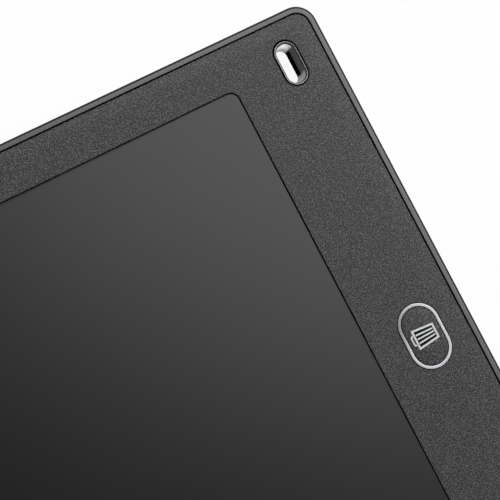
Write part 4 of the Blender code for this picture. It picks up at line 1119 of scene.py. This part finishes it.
@dataclass
class LanyardEyelet:
    """The sleeve of the lanyard hole: a beaded lip, a bore that narrows rearwards, and a flange."""

    mouth: float = 0.4 * MM
    throat: float = 0.95 * MM
    land: float = 0.6 * MM
    flange: float = 0.8 * MM
    flange_height: float = 0.45 * MM
    edge: float = 0.12 * MM
    bead: Span = (0.09 * MM, 0.19 * MM)
    groove: Span = (0.26 * MM, 0.34 * MM)
    groove_depth: float = 0.10 * MM
    line: float = 0.02 * MM
    mouth_depth: float = 0.07 * MM
    lean: float = 0.3 * MM
    lip_growth: float = 0.05 * MM
    lip_shift: float = -0.12 * MM
    bead_rows: int = 5
    bore_rows: int = 9
    steps: int = 28

    def profile(self, foot: float, top: float) -> list[Array]:
        """Draw the profile from the flange over the lip and down the bore.

        Args:
            foot: Height of the rear end.
            top: Height of the lip.

        Returns:
            Its stretches of (inset, height): flange, collar, bead, groove, bore and rear edge.
        """
        edge, line = self.edge, self.line
        collar = path((0.0, foot + self.flange_height), (0.0, top - 3 * line),
                      (line, top - 1.5 * line), (self.bead[0], top - line))
        rise = np.sin(np.linspace(0, math.pi, self.bead_rows))
        bead = joined(np.linspace(*self.bead, self.bead_rows), top + line * (rise - 1))
        near, far = self.groove
        floor, start = top - self.groove_depth, top - self.mouth_depth
        groove = path((near, top - line), (near + line, floor), (far - line, floor),
                      (far, top - 1.5 * line), (self.mouth - line, top - 2 * line),
                      (self.mouth, start))
        share = np.linspace(0, 1, self.bore_rows + 1)[1:]
        bore = joined(self.mouth + (self.throat - self.mouth) * share,
                      start - share * (start - foot - self.land))
        flange = path(arc((edge - self.flange, foot + edge), edge, 270, 180),
                      arc((edge - self.flange, foot + self.flange_height - edge), edge, 180, 90))
        rear = arc((self.throat - edge, foot + edge), edge, 0, -90)
        return [flange, collar, bead[1:], groove, bore, rear]

    def build(self) -> Pieces:
        """Sweep the profile round the slot, lean the bore to its rear, and paint the rows of faces,
        with painted shade on the collar and the groove and a painted highlight on the bead.

        Returns:
            The sleeve.
        """
        low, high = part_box("lanyard_eyelet")
        foot, top = low.z, high.z
        outer = RoundedOutline.of_node("lanyard_eyelet", steps=self.steps)
        drawn = self.flange - self.lip_growth
        outline = RoundedOutline(outer.length - 2 * drawn, outer.width - 2 * drawn,
                                 outer.radius - drawn, outer.centre, outer.steps)
        parts = self.profile(foot, top)
        grid = outline.sweep(np.concatenate(parts))
        collar, bead, groove, bore, rear = np.cumsum([len(part) for part in parts])[:-1]
        grid[bore:, :, 0] += self.lean * smooth_step((top - grid[bore:, :, 2]) / (top - foot))
        grid[..., 1] += self.lip_shift * smooth_step((grid[..., 2] - foot) / (top - foot))
        sleeve = skin("eyelet_sleeve", grid, BORE, round_rows=True)
        count = len(sleeve.data.polygons)
        row = np.arange(count) * len(grid) // count
        paint_faces(sleeve, (row < collar) | (row >= rear), FLANGE)
        # Painted light on the lip: black on the collar rows and in the groove is painted shade, and
        # the bright bead rows are a painted highlight.
        for first, stop, finish in ((collar, bead - 2, INLAY_AND_SHADE), (bead - 2, bore, LIP),
                                    (bead - 1, groove - 1, BEAD_HIGHLIGHT), (groove, groove + 3, INLAY_AND_SHADE)):
            paint_faces(sleeve, (row >= first) & (row < stop), finish)
        return [stand_in(sleeve, "lanyard_eyelet")]


@dataclass
class Stylus:
    """The stylus in its channel: barrel, nib and end cap, each turned about X."""

    grooves: int = 4
    groove_rows: int = 12
    groove_power: int = 8
    groove_pitch: float = 0.9 * MM
    groove_depth: float = 0.06 * MM
    groove_start: float = 3.0 * MM
    wall: float = 0.55 * MM
    mouth_edge: float = 0.3 * MM
    mouth_steps: int = 5
    edge: float = 0.12 * MM
    cone_length: float = 6.5 * MM
    cone_rows: int = 13
    waist: float = 0.9
    point_turn: float = 176.0
    point_steps: int = 8
    point_radius: float = 0.58 * MM
    point_reach: float = 0.6 * MM
    neck: float = 1.2 * MM
    cap_length: float = 5.0 * MM
    plug: float = 1.4 * MM
    bevel: float = 0.1 * MM
    cap_edge: float = 0.08 * MM
    cap_groove: float = 1.2 * MM
    dome: float = 0.5 * MM
    dome_flat: float = 0.15 * MM
    dome_power: float = 0.9
    dome_rows: int = 7

    @staticmethod
    def place(node: str) -> tuple[float, float, float, Array]:
        """Return where a node starts and ends along X, its radius and a place on its axis."""
        low, high = corners(node)
        return low[0], high[0], (high[2] - low[2]) / 2, (low + high) / 2 * (0, 1, 1)

    def barrel(self) -> Object:
        """Build the tube, with rounded ends and grooves of a sine's eighth power behind the nib.

        Returns:
            The barrel.
        """
        start, end, radius, centre = self.place("stylus_barrel")
        run = np.linspace(0, self.grooves * self.groove_pitch, self.grooves * self.groove_rows + 1)
        dip = self.groove_depth * np.sin(run / self.groove_pitch * math.pi) ** self.groove_power
        mouth, edge, inside = self.mouth_edge, self.edge, radius - self.wall
        profile = path(arc((start + mouth, radius - mouth), mouth, 180, 90, self.mouth_steps),
                       joined(start + self.groove_start + run, radius - dip),
                       arc((end - edge, radius - edge), edge, 90, 0),
                       (end, inside), (start, inside))
        tube = skin("stylus_tube", turned_grid(profile, centre, "X"), BARREL, round_rows=True)
        return stand_in(tube, "stylus_barrel")

    def nib(self) -> Object:
        """Build the nib: a round point, a cone with a slight waist, a shoulder and the neck.

        Returns:
            The nib.
        """
        start, end, radius, centre = self.place("stylus_tip")
        cone_start, cone_end = start + self.point_reach, start + self.cone_length
        share = np.linspace(0, 1, self.cone_rows + 1)[1:]
        cone = joined(cone_start + share * (cone_end - cone_start),
                      self.point_radius + (radius - self.point_radius) * share ** self.waist)
        point = arc((cone_start, 0.0), self.point_radius, self.point_turn, 90, self.point_steps)
        profile = path(point, cone, (cone_end, self.neck), (end, self.neck))
        profile[:, 0] = np.maximum(profile[:, 0], start)
        return stand_in(skin("stylus_nib", turned_grid(profile, centre, "X"), NIB), "stylus_tip")

    def cap(self) -> Object:
        """Build the end cap: a plug, a straight part with a ring groove, and a domed end.

        Returns:
            The cap.
        """
        plug_start, end, radius, centre = self.place("stylus_end_cap")
        plug, bevel, edge = self.plug, self.bevel, self.cap_edge
        start = end - self.cap_length
        groove = start + self.cap_groove
        turn = np.linspace(0, math.pi / 2, self.dome_rows)
        dome = joined(end - self.dome * (1 - np.sin(turn)),
                      radius - (radius - self.dome_flat) * (1 - np.cos(turn)) ** self.dome_power)
        profile = path((plug_start, plug - bevel), (plug_start + bevel, plug), (start, plug),
                       (start, radius - edge), (start + edge, radius), (groove, radius),
                       (groove + bevel, radius - bevel), (groove + 3 * bevel, radius - bevel),
                       (groove + 4 * bevel, radius), dome)
        cap = skin("stylus_cap", turned_grid(profile, centre, "X"), REAR)
        return stand_in(cap, "stylus_end_cap")

    def build(self) -> Pieces:
        """Return the three pieces."""
        return [self.barrel(), self.nib(), self.cap()]


@dataclass
class CrossScrew:
    """A pan-head screw with a cross recess and a cut thread."""

    node: str
    looks: Side
    head_height: float
    shank_share: float = 0.53
    dome: float = 0.10 * MM
    edge: float = 0.14 * MM
    recess_depth: float = 0.32 * MM
    recess_width: float = 0.27 * MM
    recess_share: float = 0.60
    soft: float = 0.10 * MM
    thread_pitch: float = 0.45 * MM
    thread_depth: float = 0.10 * MM
    point: float = 0.02 * MM
    point_share: float = 0.35
    head_rows: int = 36
    first_ring: float = 0.01
    thread_rows: int = 30
    steps: int = 96
    sharp: float = 50.0

    def build(self) -> Object:
        """Build the screw on circles of growing radius and then of growing depth.

        The head is a shallow dome less the depth of the cross, which has soft walls. Below the
        head the radius dips by the thread's depth where the height and the turn are in step.

        Returns:
            The screw.
        """
        low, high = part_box(self.node)
        radius, reach = (high.x - low.x) / 2, high.z - low.z - self.point
        shank = radius * self.shank_share
        share = np.linspace(self.first_ring, 1, self.head_rows)
        edge = arc((radius - self.edge, -self.dome - self.edge), self.edge, 90, 0)[1:]
        drop = np.linspace(self.head_height, reach, self.thread_rows)
        profile = path(joined(share * (radius - self.edge), -self.dome * share ** 2), edge,
                       (radius, -self.head_height), joined(shank, -drop),
                       (shank * self.point_share, -reach - self.point))
        turn = np.arange(self.steps) * 2 * math.pi / self.steps
        ring, level = (np.repeat(values[:, None], self.steps, axis=1) for values in profile.T)
        head, thread = slice(len(share)), slice(len(share) + len(edge) + 2, -1)
        cross = cross_mask(ring[head] * np.cos(turn), ring[head] * np.sin(turn), self.recess_width,
                           radius * self.recess_share, self.soft)
        level[head] -= self.recess_depth * cross
        wave = 0.5 - 0.5 * np.cos(2 * math.pi * level[thread] / self.thread_pitch - turn)
        ring[thread] -= self.thread_depth * wave
        face = high.z if self.looks is Side.UP else low.z
        centre = (low + high) / 2
        grid = joined(centre.x + ring * np.cos(turn), centre.y + ring * np.sin(turn),
                      face + self.looks.value * level)
        return stand_in(skin(f"{self.node}_pan", grid, STEEL, sharp=self.sharp), self.node)


@dataclass
class SolderedBlock:
    """A small part on the circuit board: a soft-edged body and, where it has them, tinned ends."""

    node: str
    finish: Finish
    ends: float = 0.0
    edge: float = 0.08 * MM
    edge_part: int = 3
    axis: int = 1
    step: float = 0.03 * MM
    corner_steps: int = 4

    def block(self, name: str, low: Array, high: Array, finish: Finish) -> Object:
        """Build a block with rounded corners and a rounded top edge.

        The rounding is at most a third of the block's smallest side.

        Args:
            name: Name of the block.
            low: Its lowest corner.
            high: Its highest corner.
            finish: Its finish.

        Returns:
            The block.
        """
        size = high - low
        edge = min(self.edge, size.min() / self.edge_part)
        middle = (low + high)[:2] / 2
        outline = RoundedOutline(size[0], size[1], edge, tuple(middle), self.corner_steps)
        profile = path((edge / 2, low[2]), (0.0, low[2] + edge / 2),
                       arc((edge, high[2] - edge), edge, 180, 90))
        return skin(name, outline.sweep(profile), finish)

    def build(self) -> Pieces:
        """Build the body, a step lower than its two tinned ends where it has them.

        Returns:
            The body and the ends.
        """
        low, high = corners(self.node)
        name, axis = f"{self.node}_body", self.axis
        if not self.ends:
            return [stand_in(self.block(name, low, high, self.finish), self.node)]
        body_low, body_high = low.copy(), high.copy()
        body_low[axis] += self.ends
        body_high[[axis, 2]] -= self.ends, self.step
        pieces = [stand_in(self.block(name, body_low, body_high, self.finish), self.node)]
        for end, start, stop in (("near", low[axis], body_low[axis]),
                                 ("far", body_high[axis], high[axis])):
            end_low, end_high = low.copy(), high.copy()
            end_low[axis], end_high[axis] = start, stop
            tinned = self.block(f"{self.node}_{end}_end", end_low, end_high, TIN)
            pieces.append(go_with(tinned, self.node))
        return pieces


@dataclass
class CircuitBoard:
    """The board with all that is soldered to it."""

    small_parts: int = 4
    small_end: float = 0.25 * MM
    capacitor_end: float = 0.3 * MM
    connector_end: float = 0.5 * MM
    inductor_edge: float = 0.3 * MM

    def build(self) -> Pieces:
        """Build the board and its parts.

        Returns:
            The pieces.
        """
        blocks = [SolderedBlock("driver_chip", BLACK),
                  SolderedBlock("boost_inductor", BLACK, edge=self.inductor_edge),
                  SolderedBlock("boost_diode", BLACK, self.small_end, axis=0),
                  SolderedBlock("film_connector", HOUSING, self.connector_end, axis=0)]
        for count in range(1, self.small_parts + 1):
            blocks += [SolderedBlock(f"board_capacitor_{count}", CERAMIC, self.capacitor_end),
                       SolderedBlock(f"board_resistor_{count}", BLACK, self.small_end)]
        return [smooth_copy("circuit_board", "driver_board", BOARD),
                *(piece for block in blocks for piece in block.build()),
                smooth_copy("slide_switch_case", "lock_switch_case", STEEL),
                *SolderedBlock("slide_switch_actuator", BLACK).build()]


@dataclass
class CoinCell:
    """A button cell: a can with a rounded edge, a crimped gasket and a smaller cap above it."""

    edge: float = 0.3 * MM
    gasket: float = 0.35 * MM
    step: float = 0.16 * MM
    dip: float = 0.08 * MM
    cap_insets: tuple[float, ...] = (0.05 * MM, 0.30 * MM, 0.36 * MM, 0.55 * MM)
    cap_bevel: float = 0.06 * MM
    middle: float = 0.04 * MM
    face_rows: int = 30
    edge_steps: int = 5
    steps: int = 96
    plus_length: float = 3.3 * MM
    plus_width: float = 0.6 * MM
    plus_depth: float = 0.05 * MM
    soft: float = 0.1 * MM

    def build(self) -> Object:
        """Turn the cell's profile about Z, and stamp a plus into the face of the can.

        Returns:
            The cell.
        """
        low, high = corners("coin_cell")
        radius, centre = (high[0] - low[0]) / 2, (low + high) / 2 * (1, 1, 0)
        edge, foot, top = self.edge, low[2], high[2]
        run = np.linspace(self.middle, radius - edge, self.face_rows)
        face = joined(foot, run)
        shoulder, rim = top - self.step, radius - edge - self.gasket
        wall, ledge, slope, crown = (rim - inset for inset in self.cap_insets)
        foot_edge = arc((radius - edge, foot + edge), edge, -90, 0, self.edge_steps)
        shoulder_edge = arc((radius - edge, shoulder - edge), edge, 0, 90, self.edge_steps)
        profile = path(face, foot_edge[:, ::-1], shoulder_edge[:, ::-1],
                       (shoulder, rim), (shoulder - self.dip, wall), (shoulder - self.dip, ledge),
                       (top - self.cap_bevel, slope), (top, crown), (top, self.middle))
        grid = turned_grid(profile, centre, "Z", self.steps)
        stamp = grid[:len(face)]
        x, y = (stamp[..., axis] - centre[axis] for axis in (0, 1))
        cross = cross_mask(x, y, self.plus_width / 2, self.plus_length / 2, self.soft)
        stamp[..., 2] += self.plus_depth * cross
        return stand_in(skin("button_cell", grid, CELL), "coin_cell")


@dataclass
class BatteryBay:
    """The cell with its contacts, and the door with its captive screw."""

    contact_sharp: float = 25.0
    screw_head: float = 0.45 * MM

    def build(self) -> Pieces:
        """Return the pieces of the bay."""
        return [CoinCell().build(),
                *(smooth_copy(f"battery_contact_{pole}", f"{pole}_spring", GOLD, self.contact_sharp)
                  for pole in ("negative", "positive")),
                smooth_copy("battery_door", "door_plate", REAR),
                CrossScrew("battery_door_screw", Side.DOWN, self.screw_head).build()]


@dataclass
class EraseLock:
    """The slider on the back that locks the erase button."""

    def build(self) -> Pieces:
        """Return the slider."""
        return [smooth_copy("lock_slider", "lock_slide", REAR)]


@dataclass
class Fasteners:
    """The screws of the bezel plate and of the circuit board."""

    case_screws: int = 6
    board_screws: int = 3
    head_height: float = 0.5 * MM
    case_shank: float = 0.53
    board_shank: float = 0.50

    def build(self) -> Pieces:
        """Return all the screws."""
        rows = (("case", Side.DOWN, self.case_screws, self.case_shank),
                ("board", Side.UP, self.board_screws, self.board_shank))
        return [CrossScrew(f"{kind}_screw_{count + 1}", side, self.head_height, shank).build()
                for kind, side, number, shank in rows for count in range(number)]


# Studio


def aim_at(thing: Object, place: Sequence[float], look: Array, up: Sequence[float]) -> None:
    """Place a camera or light so that its -Z looks along a direction.

    Args:
        thing: The object to place.
        place: Where it stands, in metres.
        look: The direction it looks in.
        up: A direction that shows upwards in its view.
    """
    back = -look / np.linalg.norm(look)
    right = np.cross(up, back)
    right /= np.linalg.norm(right)
    turn = np.eye(4)
    turn[:3] = joined(right, np.cross(back, right), back, place)
    thing.matrix_world = turn.T.tolist()


@dataclass
class Softbox:
    """A round soft light that looks at a point on the tablet."""

    place: Triple = (0.403, -0.679, 0.563)
    aim: Triple = (0.03, -0.07, 0.0)
    diameter: float = 1.55
    brightness: float = 2.86

    def build(self) -> Object:
        """Hang the light, whose power is its brightness times pi times its area.

        Returns:
            The light.
        """
        data = bpy.data.lights.new("key_softbox", "AREA")
        data.shape = "DISK"
        data.size = self.diameter
        data.energy = self.brightness * math.pi * math.pi * self.diameter ** 2 / 4
        lamp = linked("key_softbox", data)
        aim_at(lamp, self.place, np.subtract(self.aim, self.place), (0.0, 1.0, 0.0))
        return lamp


@dataclass
class Studio:
    """The floor, the surroundings, the lights and the camera."""

    floor_size: float = 8.0
    floor_white: float = 0.85
    floor_glow: float = 0.92
    floor_fade: Span = (0.4, 0.9)
    floor_drop: float = 0.05 * MM
    backdrop: float = 1.02
    horizon: float = 0.98
    zenith: float = 0.0
    camera_place: Triple = (0.023082, -0.032956, 0.241327)
    camera_look: Triple = (0.03581, -0.18691, -0.98172)
    camera_up: Triple = (0.8864, -0.44775, 0.11758)
    lens: float = 86.4
    sensor: float = 36.0
    near: float = 0.01

    def floor_material(self) -> bpy.types.Material:
        """Build the pale floor's material.

        It glows white to the camera and in reflections, wholly where it is far from the tablet, and
        keeps the shadow. It hides nothing from below, and lets the even light of the surroundings
        pass, so the rear face can be looked at as the others can.

        Returns:
            The material.
        """
        material = bpy.data.materials.new("pale_floor")
        material.use_nodes = True
        nodes = material.node_tree.nodes
        nodes.remove(nodes["Principled BSDF"])
        sheet = NodeSheet(material.node_tree)
        plain = sheet.add("BsdfDiffuse", {"Color": (*(self.floor_white,) * 3, 1.0)}).outputs[0]
        glow = sheet.add("Emission", {"Color": WHITE, "Strength": 1.0}).outputs[0]
        clear = sheet.add("BsdfTransparent").outputs[0]
        rays = sheet.add("LightPath").outputs
        mirrored = sheet.math("MAXIMUM", rays["Is Glossy Ray"], rays["Is Transmission Ray"])
        seen = sheet.math("MAXIMUM", rays["Is Camera Ray"], mirrored)
        shown = sheet.times(seen, sheet.less(1.0, sheet.add("NewGeometry").outputs["Backfacing"]))
        share = sheet.fade(sheet.measure("LENGTH", sheet.place), *self.floor_fade, self.floor_glow)
        pale = sheet.add("MixShader", {0: share, 1: plain, 2: glow}).outputs[0]
        mixed = sheet.add("MixShader", {0: shown, 1: clear, 2: pale}).outputs[0]
        sheet.plug(nodes["Material Output"], "Surface", mixed)
        return material

    def floor(self) -> Object:
        """Build the floor.

        Returns:
            The floor.
        """
        half = self.floor_size / 2
        mesh = bpy.data.meshes.new("studio_floor")
        places = [(x * half, y * half, -self.floor_drop)
                  for x, y in ((-1, -1), (1, -1), (1, 1), (-1, 1))]
        mesh.from_pydata(places, [], [(0, 1, 2, 3)])
        mesh.materials.append(self.floor_material())
        floor = linked("studio_floor", mesh)
        return floor

    def surroundings(self) -> None:
        """Light evenly from the horizon down and dimmer overhead, and look white to the camera."""
        world = bpy.data.worlds.new("light_tent")
        world.use_nodes = True
        bpy.context.scene.world = world
        sheet = NodeSheet(world.node_tree)
        rise = sheet.axes(sheet.add("TexCoord").outputs["Generated"])["Z"]
        level = sheet.fade(rise, 0.0, 1.0, self.horizon, self.zenith)
        level = sheet.between(sheet.add("LightPath").outputs["Is Camera Ray"], level, self.backdrop)
        for name, value in (("Strength", level), ("Color", WHITE)):
            sheet.plug(world.node_tree.nodes["Background"], name, value)

    def camera(self) -> Object:
        """Build the camera at the photograph's angle, for a square picture.

        Returns:
            The camera.
        """
        data = bpy.data.cameras.new("bench_camera")
        data.sensor_width, data.lens, data.clip_start = self.sensor, self.lens, self.near
        camera = linked("bench_camera", data)
        aim_at(camera, self.camera_place, np.array(self.camera_look), self.camera_up)
        bpy.context.scene.camera = camera
        return camera

    def build(self) -> Pieces:
        """Set up the studio.

        Returns:
            The floor, the light and the camera.
        """
        self.surroundings()
        bpy.context.scene.view_settings.view_transform = "Standard"
        return [self.floor(), Softbox().build(), self.camera()]


def main() -> None:
    """Build each sub-assembly and then the studio, and log every piece."""
    logging.basicConfig(level=logging.INFO, format="%(name)s: %(message)s")
    for maker in (Casing(), Screen(), EraseButton(), LanyardEyelet(), CircuitBoard(), BatteryBay(),
                  EraseLock(), Stylus(), Fasteners(), Studio()):
        for piece in maker.build():
            LOG.info("%s: %s", type(maker).__name__, piece.name)


if __name__ == "__main__":
    main()
